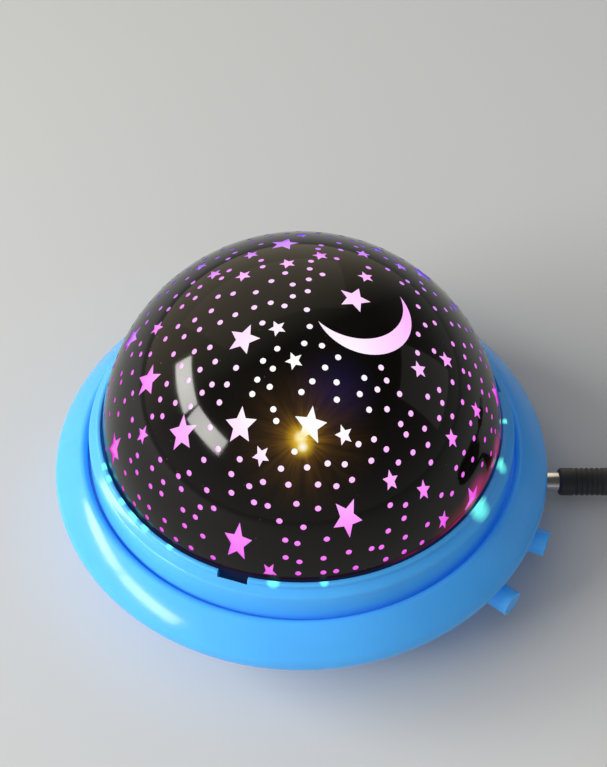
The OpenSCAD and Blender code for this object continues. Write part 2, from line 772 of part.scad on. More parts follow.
module gear_motor() {
    ear_z = deck_z - motor_drop;
    top_z = deck_z - 0.2;
    color(STEEL) difference() {
        union() {
            translate([0, motor_at, 0]) motor_can(ear_z + motor_ear_t - motor_h, ear_z + motor_ear_t);
            for (side = [-1, 1]) translate([side * motor_ear_at, motor_at, ear_z])
                cylinder(h = motor_ear_t, r = motor_ear_r);
            translate([0, motor_at, 0]) block(2 * motor_ear_at, 2 * motor_ear_r, ear_z, ear_z + motor_ear_t);
            translate([0, motor_at, ear_z]) cylinder(h = top_z - ear_z, r = 3.5);
            translate([0, motor_at, ear_z - motor_h - 0.4]) cylinder(h = 3, r = 2.6);
        }
        translate([0, motor_at, ear_z - shaft_in - 0.5]) cylinder(h = motor_h, r = shaft_r + FIT);
        for (side = [-1, 1])
            translate([side * motor_ear_at, motor_at, ear_z - 1]) cylinder(h = 4, r = small_screw_r + 0.2);
    }
}

module motor_screws() {
    color(STEEL) for (side = [-1, 1])
        translate([side * motor_ear_at, motor_at, 0])
            screw(small_screw_r, small_head_r, small_head_h, motor_drop + motor_bite, deck_z - motor_drop);
}

module roller(index) {
    a = roller_angles[index];
    color(WHITE) radial(a, roller_at - roller_l / 2, roller_at + roller_l / 2, roller_z, roller_r, roller_pin_r + FIT);
}

module roller_1() { roller(0); }
module roller_2() { roller(1); }
module roller_3() { roller(2); }

module roller_pins() {
    reach = roller_l / 2 + RUN_GAP + ear_t;
    color(STEEL) for (a = roller_angles)
        radial(a, roller_at - reach, roller_at + reach, roller_z, roller_pin_r);
}

/* --- Dome --- */

// A ball with everything below a height taken off.
module cap(r, from_z) {
    intersection() {
        translate([0, 0, centre_z]) sphere(r = r, $fn = 160);
        block(3 * r, 3 * r, from_z, centre_z + 2 * r);
    }
}

module dome() {
    color([0.85, 0.88, 0.95, 0.4]) {
        difference() {
            union() {
                cap(clear_r, rim_z);
                intersection() {
                    translate([0, 0, rim_z]) cylinder(h = lug_h, r = lug_r);
                    union() for (i = [0 : lugs - 1])
                        at(notch_az - twist_angle + i * 360 / lugs, clear_r - 2)
                            translate([0, -lug_w / 2, rim_z]) cube([6, lug_w, lug_h]);
                }
            }
            cap(clear_r - dome_wall, rim_z - 1);
        }
    }
}

// A star for an elevation on the dome, drawn out as the printed sheet is there. Roll 0 points a tip at the top.
module star(r, elevation, roll) {
    polygon([for (i = [0 : 9])
        let (t = 180 + roll + 36 * i, q = i % 2 == 0 ? r : star_waist * r)
        [drawn_out(elevation) * q * cos(t), drawn_in(elevation) * q * sin(t)]]);
}

// Cuts its outline through the skin. The outline's X points away from the top of the dome.
module window(azimuth, elevation) {
    translate([0, 0, centre_z]) rotate([0, 90 - elevation, azimuth]) translate([0, 0, clear_r - 4])
        linear_extrude(8) children();
}

module crescent() {
    difference() {
        circle(r = moon_r);
        translate([moon_offset, 0]) circle(r = moon_bite_r);
    }
}

module star_skin() {
    color(SKIN) difference() {
        cap(dome_r, centre_z + skin_edge_h);
        cap(clear_r, centre_z + skin_edge_h - 1);
        for (s = large_stars) window(s[0], s[1]) star(star_r, s[1], s[2]);
        for (s = small_stars) window(s[0], s[1]) star(small_star_r, s[1], s[2]);
        window(moon_az, moon_el) rotate(180 + moon_roll) crescent();
        for (d = dots()) window(d[0], d[1]) circle(r = dot_r, $fn = 16);
    }
}

/* --- Lights and electronics --- */

module led_board() {
    color(BOARD) difference() {
        translate([0, 0, led_board_z]) cylinder(h = board_t, r = led_board_r);
        for (a = led_posts)
            at(a, led_post_at) translate([0, 0, led_board_z - 1]) cylinder(h = board_t + 2, r = small_screw_r);
    }
}

module led(tint) {
    color(tint) {
        translate([0, 0, led_base_z]) cylinder(h = 1, r = led_r + 0.4);
        translate([0, 0, led_base_z]) cylinder(h = led_h - led_r, r = led_r);
        translate([0, 0, led_base_z + led_h - led_r]) sphere(r = led_r);
    }
}

module led_white() { led([1, 0.93, 0.75]); }
module led_blue() { at(led_angles[0], led_at) led([0.2, 0.35, 1]); }
module led_red() { at(led_angles[1], led_at) led([1, 0.2, 0.2]); }
module led_green() { at(led_angles[2], led_at) led([0.2, 1, 0.5]); }

module main_board() {
    color(BOARD) at(buttons_az) difference() {
        translate([board_to - board_l, -board_w / 2, board_z]) cube([board_l, board_w, board_t]);
        for (p = board_posts) translate([p[0], p[1], board_z - 1]) cylinder(h = board_t + 2, r = small_screw_r + 0.2);
    }
}

module board_screws() {
    color(STEEL) at(buttons_az) for (p = board_posts) translate([p[0], p[1], 0]) {
        translate([0, 0, board_z + board_t]) cylinder(h = small_head_h, r = small_head_r);
        translate([0, 0, board_z - board_bite]) cylinder(h = board_t + board_bite + 0.5, r = small_screw_r);
    }
}

module tact_switch(a) {
    color(BLACK) difference() {
        at(a, switch_front_at - switch_l / 2)
            block(switch_l, switch_w, button_z - switch_w / 2, button_z + switch_w / 2);
        radial(a, plunger_back_at - button_travel - 0.2, switch_front_at + 1, button_z, plunger_r + 0.1);
    }
}

module plunger(a) {
    color(WHITE) radial(a, plunger_back_at, key_in_at, button_z, plunger_r);
}

module button(a) {
    chamfer = 0.5;
    dish = 0.16;
    color(BLUE) at(a) translate([0, 0, button_z]) rotate([0, 90, 0]) rotate_extrude() polygon([
        [0, key_in_at], [button_r + 0.8, key_in_at], [button_r + 0.8, key_in_at + key_flange_t],
        [button_r, key_in_at + key_flange_t], [button_r, button_face_at - chamfer],
        [button_r - chamfer, button_face_at], [button_r - 2 * chamfer, button_face_at],
        [button_r - 2.5 * chamfer, button_face_at - dish], [0, button_face_at - dish]
    ]);
}

module power_switch() { tact_switch(key_angles[0]); }
module power_plunger() { plunger(key_angles[0]); }
module power_button() { button(key_angles[0]); }
module spin_switch() { tact_switch(key_angles[1]); }
module spin_plunger() { plunger(key_angles[1]); }
module spin_button() { button(key_angles[1]); }

/* --- Battery bay --- */

module battery_cover() {
    slot = 1;
    color(BLUE) {
        difference() {
            translate([-cover_x, -cover_y, cover_z]) cube([2 * cover_x, cover_y + hinge_y, cover_t]);
            for (side = [-1, 1])
                translate([side * (latch_w / 2 + slot / 2) - slot / 2, -cover_y - 1, cover_z - 1])
                    cube([slot, latch_l + 1, cover_t + 2]);
        }
        translate([-cover_x, hinge_y, hinge_z]) rotate([0, 90, 0]) cylinder(h = 2 * cover_x, r = cover_t / 2);
        translate([-recess_x - 1.3, hinge_y, hinge_z]) rotate([0, 90, 0])
            cylinder(h = 2 * recess_x + 2.6, r = trunnion_r);
        translate([-latch_w / 2 + 1, -cover_y - 0.9, hinge_z]) cube([latch_w - 2, 1.2, cover_top_z - hinge_z]);
        // Ribs for a finger on the latch.
        for (i = [0 : cover_ribs - 1])
            translate([-latch_w / 2 + 1.3, -cover_y + 2 + i * rib_step, cover_z - rib_h])
                cube([latch_w - 2.6, rib_w, rib_h + PART_FACE]);
    }
}

// A cell spring, as rings that narrow towards the cell, pointing along +X.
module cell_spring() {
    rotate([0, 90, 0]) for (i = [0 : 3])
        translate([0, 0, spring_wire * (1 + 1.5 * i)]) rotate_extrude() translate([spring_r - spring_wire * i, 0])
            circle(r = spring_wire, $fn = 24);
}

module battery_springs() {
    color(STEEL) for (i = [0 : cells - 1]) {
        side = i % 2 == 0 ? -1 : 1;
        translate([side * (bay_x - 0.4), (i - (cells - 1) / 2) * cell_pitch, ledge_z + 0.5 + cell_d / 2])
            rotate([0, 0, side < 0 ? 0 : 180]) cell_spring();
    }
}

module battery_plates() {
    color(STEEL) for (side = [-1, 1])
        translate([side * (bay_x - 0.2), 0, 0]) block(0.4, 2 * bay_y - 1, ledge_z + 1, bay_roof_z - 1);
}

/* --- Socket, screws and feet --- */

module dc_socket() {
    back = socket_face_at - socket_l;
    color(BLACK) difference() {
        radial(0, back, socket_face_at, parting_z, socket_r);
        radial(0, socket_face_at - socket_depth, socket_face_at + 1, parting_z, barrel_r + SLIDE);
    }
    color(STEEL) radial(0, socket_face_at - socket_depth - 1, socket_face_at - 1, parting_z, 0.9);
}

module housing_screws() {
    color(STEEL) for (a = screw_angles)
        at(a, screw_at) screw(screw_r, screw_head_r, screw_head_h, screw_l, parting_z - 1.6);
}

module deck_screws() {
    color(STEEL) for (a = deck_screw_angles) at(a, deck_screw_at)
        screw(small_screw_r, deck_head_r, small_head_h, deck_t + deck_bite, deck_z);
}

module rubber_feet() {
    edge = 0.5;
    dimple = 0.25;
    color(BLACK) for (a = foot_angles) at(a, foot_at) rotate_extrude() polygon(concat(
        [[0, dimple], [foot_r / 2, dimple], [foot_r / 2 + 0.4, 0]],
        arc(foot_r - edge, edge, edge, -90, 0, 4),
        [[foot_r, foot_h + foot_recess], [0, foot_h + foot_recess]]
    ));
}

/* --- Power lead --- */

module plug_barrel() {
    color(STEEL) radial(0, socket_face_at - barrel_in, grip_x, parting_z, barrel_r, 1.05);
}

module plug_grip() {
    edge = 1.2;
    neck_r = lead_d / 2 + 0.4;
    pitch = relief_l / relief_rings;
    color(BLACK) translate([grip_x, 0, parting_z]) rotate([0, 90, 0]) rotate_extrude() polygon(concat(
        [[0, 0]],
        arc(grip_r - edge, edge, edge, -90, 0, 4),
        [for (i = [0 : grip_grooves - 1]) let (h = grip_l / 2 + (i - (grip_grooves - 1) / 2) * groove_step) each [
            [grip_r, h - groove_w / 2], [grip_r - groove_d, h - groove_w / 4],
            [grip_r - groove_d, h + groove_w / 4], [grip_r, h + groove_w / 2]
        ]],
        [[grip_r, grip_l - 3], [grip_r - 0.8, grip_l - 0.2]],
        [for (i = [0 : relief_rings - 1])
            let (r = neck_r + (grip_r - 0.9 - neck_r) * (1 - (i + 0.5) / relief_rings), h = grip_l + i * pitch)
            each [[r, h + 0.05 * pitch], [r, h + 0.6 * pitch], [neck_r - 0.2, h + 0.7 * pitch], [neck_r - 0.2, h + pitch]]],
        [[0, grip_l + relief_l]]
    ));
}

// Cross product of two directions, as a unit vector.
function side_of(a, b) = let (c = cross(a, b)) c / norm(c);

// Direction of a route at point i.
function heading(route, i) =
    let (d = route[min(i + 1, len(route) - 1)] - route[max(i - 1, 0)]) d / norm(d);

// A round tube through a route's points.
module tube(route, r, sides = 8) {
    rings = len(route);
    points = [for (i = [0 : rings - 1])
        let (d = heading(route, i), u = side_of([0, 0, 1], d), v = cross(d, u))
        for (k = [0 : sides - 1]) let (t = 360 * k / sides) route[i] + r * (cos(t) * u + sin(t) * v)];
    walls = [for (i = [0 : rings - 2], k = [0 : sides - 1]) let (n = (k + 1) % sides)
        [i * sides + k, (i + 1) * sides + k, (i + 1) * sides + n, i * sides + n]];
    start = [for (k = [0 : sides - 1]) k];
    end = [for (k = [sides - 1 : -1 : 0]) (rings - 1) * sides + k];
    polyhedron(points, concat([start], walls, [end]));
}

module usb_lead() { color(BLACK) tube(LEAD_ROUTE, lead_d / 2); }
module lead_tail() { color(BLACK) tube(TAIL_ROUTE, lead_d / 2); }

module lead_coil() {
    corner = lead_d / 2;
    color(BLACK) translate([coil_x, coil_y, 0]) rotate_extrude() translate([coil_mid_r, 0]) polygon(concat(
        arc(coil_w / 2 - corner, coil_h - corner, corner, 0, 90, 3),
        arc(-coil_w / 2 + corner, coil_h - corner, corner, 90, 180, 3),
        arc(-coil_w / 2 + corner, corner, corner, 180, 270, 3),
        arc(coil_w / 2 - corner, corner, corner, 270, 360, 3)
    ));
}

// A strap over the coil, on its far side.
module coil_tie() {
    strap = 0.6;
    color(BLACK) translate([coil_x, coil_y, 0]) at(90, coil_mid_r) difference() {
        block(coil_w + 2 * strap + 0.8, 5, 0, coil_h + strap + 0.1);
        block(coil_w + 0.8, 6, -1, coil_h + 0.1);
    }
}

// Outline of a box with round corners.
function round_box(w, h, r) = concat(
    arc(w / 2 - r, h / 2 - r, r, 0, 90, 4), arc(-w / 2 + r, h / 2 - r, r, 90, 180, 4),
    arc(-w / 2 + r, -h / 2 + r, r, 180, 270, 4), arc(w / 2 - r, -h / 2 + r, r, 270, 360, 4)
);

module usb_grip() {
    neck_r = lead_d / 2 + 0.25;
    step = usb_relief_l / 3;
    color(BLACK) translate([usb_rear[0], usb_rear[1], usb_rear[2]]) rotate([-90, 0, 0]) {
        rotate_extrude() polygon(concat(
            [[0, 0]],
            [for (i = [0 : 2]) each [
                [neck_r + 0.35 + 0.25 * i, i * step], [neck_r + 0.45 + 0.25 * i, (i + 0.7) * step],
                [neck_r, (i + 0.75) * step], [neck_r, (i + 0.95) * step]
            ]],
            [[neck_r + 1.1, usb_relief_l], [neck_r + 1.1, usb_relief_l + 1], [0, usb_relief_l + 1]]
        ));
        difference() {
            translate([0, 0, usb_relief_l]) linear_extrude(usb_grip_l) polygon(round_box(usb_grip_w, usb_grip_h, 1.6));
            // Grooves for the fingers, in both sides.
            for (side = [-1, 1], i = [0 : grip_grooves - 2])
                let (z = usb_relief_l + usb_grip_l / 2 + (i - 2.9) * 2 * groove_w)
                translate([side * usb_grip_w / 2 - 0.45, -2.2, z]) cube([0.9, 4.4, groove_w]);
            // A sunk panel on top.
            translate([-usb_grip_w / 2 + 2.8, -usb_grip_h / 2 - 1, usb_relief_l + 3])
                cube([usb_grip_w - 5.6, 1.35, usb_grip_l - 6]);
        }
    }
}

module usb_shell() {
    back = usb_rear[1] + usb_relief_l + usb_grip_l;
    color(STEEL) translate([usb_rear[0], back, usb_rear[2]]) rotate([-90, 0, 0]) difference() {
        linear_extrude(usb_shell_l) square([usb_shell_w, usb_shell_h], center = true);
        translate([0, -0.7, 1]) linear_extrude(usb_shell_l) square([usb_shell_w - 0.6, 2.2], center = true);
        // Latch holes.
        for (side = [-1, 1]) translate([side * 2.9 - 1.1, -usb_shell_h / 2 - 1, 4.2]) cube([2.2, 2, 2.2]);
    }
}

upper_housing();
lower_housing();
deck();
turntable();
dome();
star_skin();
gear_motor();
motor_shaft();
pinion();
motor_screws();
roller_1();
roller_2();
roller_3();
roller_pins();
led_board();
led_white();
led_blue();
led_red();
led_green();
main_board();
board_screws();
power_switch();
power_plunger();
power_button();
spin_switch();
spin_plunger();
spin_button();
battery_cover();
battery_springs();
battery_plates();
dc_socket();
housing_screws();
deck_screws();
rubber_feet();
plug_barrel();
plug_grip();
usb_lead();
lead_coil();
coil_tie();
lead_tail();
usb_grip();
usb_shell();
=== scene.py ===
"""Dresses the star night light: a glowing star dome that turns on a sky-blue base, with its power lead."""

from __future__ import annotations

import json
import logging
import math
from collections.abc import Callable, Iterable, Iterator, Sequence
from contextlib import contextmanager
from dataclasses import dataclass
from enum import Enum

import bmesh
import bpy
from mathutils import Matrix, Vector

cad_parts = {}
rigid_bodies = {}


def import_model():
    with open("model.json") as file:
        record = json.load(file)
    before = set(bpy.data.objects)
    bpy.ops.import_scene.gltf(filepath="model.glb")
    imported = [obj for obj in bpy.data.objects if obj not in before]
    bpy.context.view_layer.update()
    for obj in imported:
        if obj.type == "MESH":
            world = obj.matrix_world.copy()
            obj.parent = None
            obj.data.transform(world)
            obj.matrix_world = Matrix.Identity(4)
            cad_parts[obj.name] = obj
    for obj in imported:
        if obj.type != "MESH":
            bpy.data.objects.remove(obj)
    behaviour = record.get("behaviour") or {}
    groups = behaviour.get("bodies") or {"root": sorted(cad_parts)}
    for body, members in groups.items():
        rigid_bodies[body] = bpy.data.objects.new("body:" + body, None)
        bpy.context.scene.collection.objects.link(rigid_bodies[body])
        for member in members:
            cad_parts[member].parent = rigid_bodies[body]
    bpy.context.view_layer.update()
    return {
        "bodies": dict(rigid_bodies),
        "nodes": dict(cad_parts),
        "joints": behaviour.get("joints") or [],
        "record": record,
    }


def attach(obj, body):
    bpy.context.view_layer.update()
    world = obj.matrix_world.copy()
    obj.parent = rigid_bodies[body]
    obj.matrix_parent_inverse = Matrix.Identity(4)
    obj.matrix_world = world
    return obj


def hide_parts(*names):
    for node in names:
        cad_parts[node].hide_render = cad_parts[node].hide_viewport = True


LOG = logging.getLogger("star_light")
MM = 0.001
FRAME: dict[str, object] = {}
WELD = 0.000002
Point = tuple[float, float, float]
Colour = tuple[float, float, float]
Profile = Sequence[tuple[float, float]]
Test = Callable[[Vector, Vector], bool]
Node = bpy.types.Node
Output = bpy.types.NodeSocket
Outputs = dict[str, Output]


def mm(*values: float) -> Point:
    """Millimetres to a point in metres."""
    return tuple(v * MM for v in values)


def eased(start: float, end: float, share: float) -> float:
    """A value that goes gently from start at share 0 to end at share 1."""
    share = min(1.0, max(0.0, share))
    return start + (end - start) * (1 - math.cos(math.pi * share)) / 2


def direction(azimuth: float, elevation: float) -> Vector:
    """A unit vector from an azimuth and an elevation in degrees."""
    a, e = math.radians(azimuth), math.radians(elevation)
    return Vector((math.cos(e) * math.cos(a), math.cos(e) * math.sin(a), math.sin(e)))


def at(*place: float) -> Matrix:
    """A place in millimetres, unturned."""
    return Matrix.Translation(mm(*place))


def spot(azimuth: float, reach: float = 0.0, height: float = 0.0) -> Matrix:
    """A place at an azimuth, a distance and a height, with its X pointing outwards."""
    return Matrix.Rotation(math.radians(azimuth), 4, "Z") @ at(reach, 0, height)


def arc(cx: float, cy: float, r: float, start: float, end: float, steps: int = 6) -> list[tuple[float, float]]:
    """Points on an arc of a profile, between two angles in degrees."""
    angles = (math.radians(start + (end - start) * i / steps) for i in range(steps + 1))
    return [(cx + r * math.cos(a), cy + r * math.sin(a)) for a in angles]


def shade(colour: Colour, factor: float, added: float = 0.0) -> Colour:
    """A colour times a factor, plus a grey."""
    return tuple(factor * c + added for c in colour)


OUTWARDS = Matrix.Rotation(math.radians(90), 4, "Y")
BACKWARDS = Matrix.Rotation(math.radians(-90), 4, "X")
UPSIDE_DOWN = Matrix.Rotation(math.radians(180), 4, "X")
DOME_CENTRE = mm(0, 0, 31)
SKIN_EDGE_Z = 39.4 * MM
SKIN_RADIUS = 55.0 * MM
LIP_Z = 38.3 * MM
LAMP_BASE_Z = 18.8 * MM
WARM_LAMP_AT = (-90.0, 48.2)


# Node trees


class Tree:
    """A node tree that is being drawn."""

    def __init__(self, tree: bpy.types.NodeTree) -> None:
        """Keeps the tree and empties it."""
        self.tree = tree
        tree.nodes.clear()

    def add(self, kind: str, inputs: dict[str | int, object] | None = None, **settings: object) -> Node:
        """Adds one node.

        Args:
            kind: The node's type name.
            inputs: Values or outputs for its inputs, by name or number.
            settings: Values for its own properties.

        Returns:
            The new node.
        """
        node = self.tree.nodes.new(kind)
        for name, value in settings.items():
            setattr(node, name, value)
        for name, value in (inputs or {}).items():
            self.feed(node.inputs[name], value)
        return node

    def feed(self, socket: bpy.types.NodeSocket, value: object) -> None:
        """Joins an output to a socket, or sets the socket's own value.

        Args:
            socket: The input socket.
            value: An output, a colour or a number.
        """
        if isinstance(value, bpy.types.NodeSocket):
            self.tree.links.new(value, socket)
        elif socket.type == "RGBA" and len(value) == 3:
            socket.default_value = (*value, 1.0)
        else:
            socket.default_value = value

    def math(self, operation: str, *values: object) -> Output:
        """Adds a Math node."""
        return self.add("ShaderNodeMath", dict(enumerate(values)), operation=operation).outputs[0]

    def times(self, *values: object) -> Output:
        """The product of two values."""
        return self.math("MULTIPLY", *values)

    def scaled(self, value: object, factor: float, added: object) -> Output:
        """A value times a factor, plus another value."""
        return self.math("MULTIPLY_ADD", value, factor, added)

    def vector(self, operation: str, *values: object) -> Output:
        """Adds a Vector Math node and returns the output that its operation fills."""
        node = self.add("ShaderNodeVectorMath", dict(enumerate(values)), operation=operation)
        return node.outputs["Value" if operation in ("DOT_PRODUCT", "DISTANCE") else "Vector"]

    def noise(self, where: object, scale: object, detail: float = 3.0, roughness: float = 0.5) -> Output:
        """Adds a noise texture."""
        inputs = {"Vector": where, "Scale": scale, "Detail": detail, "Roughness": roughness}
        return self.add("ShaderNodeTexNoise", inputs).outputs["Fac"]

    def span(self, value: object, low: float, high: float, to_low: float = 0.0, to_high: float = 1.0) -> Output:
        """Maps a range of values to another, held at its ends."""
        inputs = {"Value": value, "From Min": low, "From Max": high, "To Min": to_low, "To Max": to_high}
        return self.add("ShaderNodeMapRange", inputs, clamp=True).outputs["Result"]

    def facing(self, out: object, way: Vector) -> Output:
        """The cosine between a direction and a fixed one."""
        return self.vector("DOT_PRODUCT", out, tuple(way))

    def near(self, place: object, point: Sequence[float], inner: float, outer: float) -> Output:
        """A mask that is 1 within a distance of a point and 0 beyond another."""
        return self.span(self.vector("DISTANCE", place, tuple(point)), inner, outer, 1.0, 0.0)

    def outward(self, where: object, centre: object) -> Output:
        """The direction in which a place lies from a centre."""
        return self.vector("NORMALIZE", self.vector("SUBTRACT", where, centre))

    def axes(self, where: object) -> bpy.types.bpy_prop_collection:
        """The X, Y and Z of a place."""
        return self.add("ShaderNodeSeparateXYZ", {0: where}).outputs

    def blend(self, share: object, first: object, second: object) -> Output:
        """Mixes two colours by a share."""
        return self.add("ShaderNodeMix", {0: share, 6: first, 7: second}, data_type="RGBA").outputs[2]

    def ramp(self, value: object, *stops: tuple[float, Colour]) -> Output:
        """Adds a colour ramp.

        Args:
            value: The place on the ramp.
            stops: Places on it with their colours.

        Returns:
            The colour there.
        """
        node = self.add("ShaderNodeValToRGB", {"Fac": value})
        elements = node.color_ramp.elements
        while len(elements) < len(stops):
            elements.new(0.5)
        for element, (place, colour) in zip(elements, stops):
            element.position = place
            element.color = (*colour, 1.0)
        return node.outputs["Color"]


class Surface(Tree):
    """A material's tree, with its shader and the object's coordinates."""

    def __init__(self, name: str) -> None:
        """Makes the material.

        Args:
            name: Its name.
        """
        self.material = bpy.data.materials.new(name)
        self.material.use_nodes = True
        super().__init__(self.material.node_tree)
        self.shader = self.add("ShaderNodeBsdfPrincipled")
        self.add("ShaderNodeOutputMaterial", {"Surface": self.shader.outputs[0]}, target="ALL")
        self.where = self.add("ShaderNodeTexCoord").outputs["Object"]

    def set(self, name: str, value: object) -> None:
        """Feeds one of the shader's inputs."""
        self.feed(self.shader.inputs[name], value)

    def glow(self, colour: object, strength: float = 1.0) -> None:
        """Lets the surface give light."""
        self.set("Emission Color", colour)
        self.set("Emission Strength", strength)

    def bump(self, height: object, strength: float, reach: float) -> None:
        """Joins a height to the shader's normal through a Bump node."""
        inputs = {"Height": height, "Strength": strength, "Distance": reach}
        self.set("Normal", self.add("ShaderNodeBump", inputs).outputs["Normal"])


class Kind(Enum):
    """The kinds of socket that the shared groups have."""

    NUMBER = "NodeSocketFloat"
    VECTOR = "NodeSocketVector"
    COLOUR = "NodeSocketColor"


class SharedGroup:
    """A shader node group that several materials use, built once."""

    name = "shared"
    inputs: tuple[tuple[str, Kind, object], ...] = (("Where", Kind.VECTOR, None),)
    outputs: tuple[tuple[str, Kind], ...] = ()

    def group(self) -> bpy.types.NodeTree:
        """Builds the group's tree on its first use.

        Returns:
            The group's tree.
        """
        found = bpy.data.node_groups.get(self.name)
        if found:
            return found
        made = bpy.data.node_groups.new(self.name, "ShaderNodeTree")
        for label, kind, value in self.inputs:
            socket = made.interface.new_socket(label, in_out="INPUT", socket_type=kind.value)
            if value is not None:
                socket.default_value = value
        for label, kind in self.outputs:
            made.interface.new_socket(label, in_out="OUTPUT", socket_type=kind.value)
        tree = Tree(made)
        given = tree.add("NodeGroupInput").outputs
        target = tree.add("NodeGroupOutput")
        for label, value in self.draw(tree, given).items():
            tree.feed(target.inputs[label], value)
        return made

    def draw(self, tree: Tree, given: Outputs) -> Outputs:
        """Draws the group's inside.

        Args:
            tree: The group's tree.
            given: The group's inputs.

        Returns:
            The group's outputs.
        """
        raise NotImplementedError

    def place(self, tree: Tree, **values: object) -> Outputs:
        """Puts the group into a material's tree with its own values, and returns its outputs."""
        return tree.add("ShaderNodeGroup", values, node_tree=self.group()).outputs


class Grain(SharedGroup):
    """The fine grain of a moulded surface, with faint flow marks in its colour."""

    name = "moulded_grain"
    inputs = (*SharedGroup.inputs, ("Size", Kind.NUMBER, 1500.0), ("Flow", Kind.NUMBER, 40.0))
    outputs = (("Height", Kind.NUMBER), ("Tone", Kind.NUMBER))

    def draw(self, tree: Tree, given: Outputs) -> Outputs:
        """Draws the grain's height and the tone of the flow marks."""
        flow = tree.noise(given["Where"], given["Flow"], 4.0)
        return {"Height": tree.noise(given["Where"], given["Size"]), "Tone": tree.span(flow, 0.3, 0.7)}


class Handling(SharedGroup):
    """Marks of use: hair scratches, smudges and specks of dust."""

    name = "handling_marks"
    outputs = (("Smudge", Kind.NUMBER), ("Scratch", Kind.NUMBER), ("Dust", Kind.NUMBER))

    def draw(self, tree: Tree, given: Outputs) -> Outputs:
        """Draws the three masks.

        Args:
            tree: The group's tree.
            given: The group's inputs.

        Returns:
            The masks of smudges, scratches and dust.
        """
        where = given["Where"]
        smudge = tree.span(tree.noise(where, 55.0, 3.0, 0.6), 0.45, 0.75)
        drawn = {"Vector": where, "Rotation": (0.4, 0.2, 0.7), "Scale": (1.0, 14.0, 1.0)}
        thin = tree.noise(tree.add("ShaderNodeMapping", drawn).outputs["Vector"], 160.0, 2.0, 0.4)
        line = tree.span(tree.math("ABSOLUTE", tree.math("SUBTRACT", thin, 0.5)), 0.0, 0.012, 1.0, 0.0)
        patch = tree.span(tree.noise(where, 70.0, 2.0), 0.56, 0.66)
        specks = tree.add("ShaderNodeTexVoronoi", {"Vector": where, "Scale": 420.0}).outputs["Distance"]
        kept = tree.span(tree.noise(where, 230.0, 1.0), 0.62, 0.66)
        dust = tree.times(tree.span(specks, 0.05, 0.12, 1.0, 0.0), kept)
        return {"Smudge": smudge, "Scratch": tree.times(line, patch), "Dust": dust}


class Brushing(SharedGroup):
    """Drawn or brushed lines in metal, along a chosen axis."""

    name = "brushed_lines"
    inputs = (*SharedGroup.inputs, ("Stretch", Kind.VECTOR, (1.0, 1.0, 1.0)))
    outputs = (("Lines", Kind.NUMBER), ("Stain", Kind.NUMBER))

    def draw(self, tree: Tree, given: Outputs) -> Outputs:
        """Draws the lines and the stains."""
        lines = tree.noise(tree.vector("MULTIPLY", given["Where"], given["Stretch"]), 900.0, 4.0, 0.6)
        return {"Lines": lines, "Stain": tree.span(tree.noise(given["Where"], 220.0), 0.4, 0.8)}


class LampGlow(SharedGroup):
    """The light that the lamps throw on the dome: white to the front, pink round it, violet at the back."""

    name = "lamp_glow"
    inputs = (*SharedGroup.inputs, ("Centre", Kind.VECTOR, (0.0, 0.0, 0.031)))
    outputs = (("Glow", Kind.COLOUR),)

    def draw(self, tree: Tree, given: Outputs) -> Outputs:
        """Draws the colour by the direction from the dome's centre.

        Args:
            tree: The group's tree.
            given: The group's inputs.

        Returns:
            The colour.
        """
        out = tree.outward(given["Where"], given["Centre"])
        front = tree.ramp(
            tree.facing(out, direction(-85, 69)),
            (0.0, (0.70, 0.02, 0.45)),
            (0.30, (0.74, 0.05, 0.62)),
            (0.49, (0.84, 0.11, 0.84)),
            (0.60, (0.92, 0.19, 0.92)),
            (0.69, (0.97, 0.25, 0.97)),
            (0.76, (0.99, 0.38, 1.0)),
            (0.85, (0.99, 0.48, 1.0)),
            (0.89, (0.99, 0.58, 1.0)),
            (0.93, (1.0, 0.67, 1.0)),
            (0.975, (1.0, 0.82, 1.0)),
        )
        front = tree.blend(tree.near(out, direction(-88, 57), 0.18, 0.42), front, (1.0, 1.0, 1.0))
        axes = tree.axes(out)
        behind = tree.math("ADD", tree.scaled(axes["Z"], -1.3, axes["Y"]), 1.04)
        back = tree.ramp(
            behind,
            (0.08, (0.80, 0.25, 0.97)),
            (0.16, (0.66, 0.25, 0.94)),
            (0.28, (0.58, 0.23, 0.93)),
            (0.36, (0.42, 0.16, 0.88)),
            (0.42, (0.33, 0.13, 0.83)),
            (0.47, (0.27, 0.10, 0.78)),
            (0.56, (0.20, 0.08, 0.70)),
            (0.85, (0.08, 0.03, 0.58)),
        )
        past = tree.times(tree.span(behind, -0.02, 0.10), tree.span(axes["Y"], -0.05, 0.2))
        warm = tree.near(out, direction(*WARM_LAMP_AT), 0.012, 0.06)
        return {"Glow": tree.blend(warm, tree.blend(past, front, back), (1.0, 0.80, 0.28))}


GRAIN = Grain()
HANDLING = Handling()
BRUSHING = Brushing()
LAMP_GLOW = LampGlow()


# Finishes


@dataclass(frozen=True)
class Finish:
    """What every finish has: a name and the record's slot."""

    name: str
    slot: str

    def material(self) -> bpy.types.Material:
        """Builds the finish's material on its first use.

        Returns:
            The material.
        """
        found = bpy.data.materials.get(self.name)
        if found:
            return found
        on = Surface(self.name)
        self.draw(on)
        return on.material

    def draw(self, on: Surface) -> None:
        """Sets the surface up."""
        raise NotImplementedError


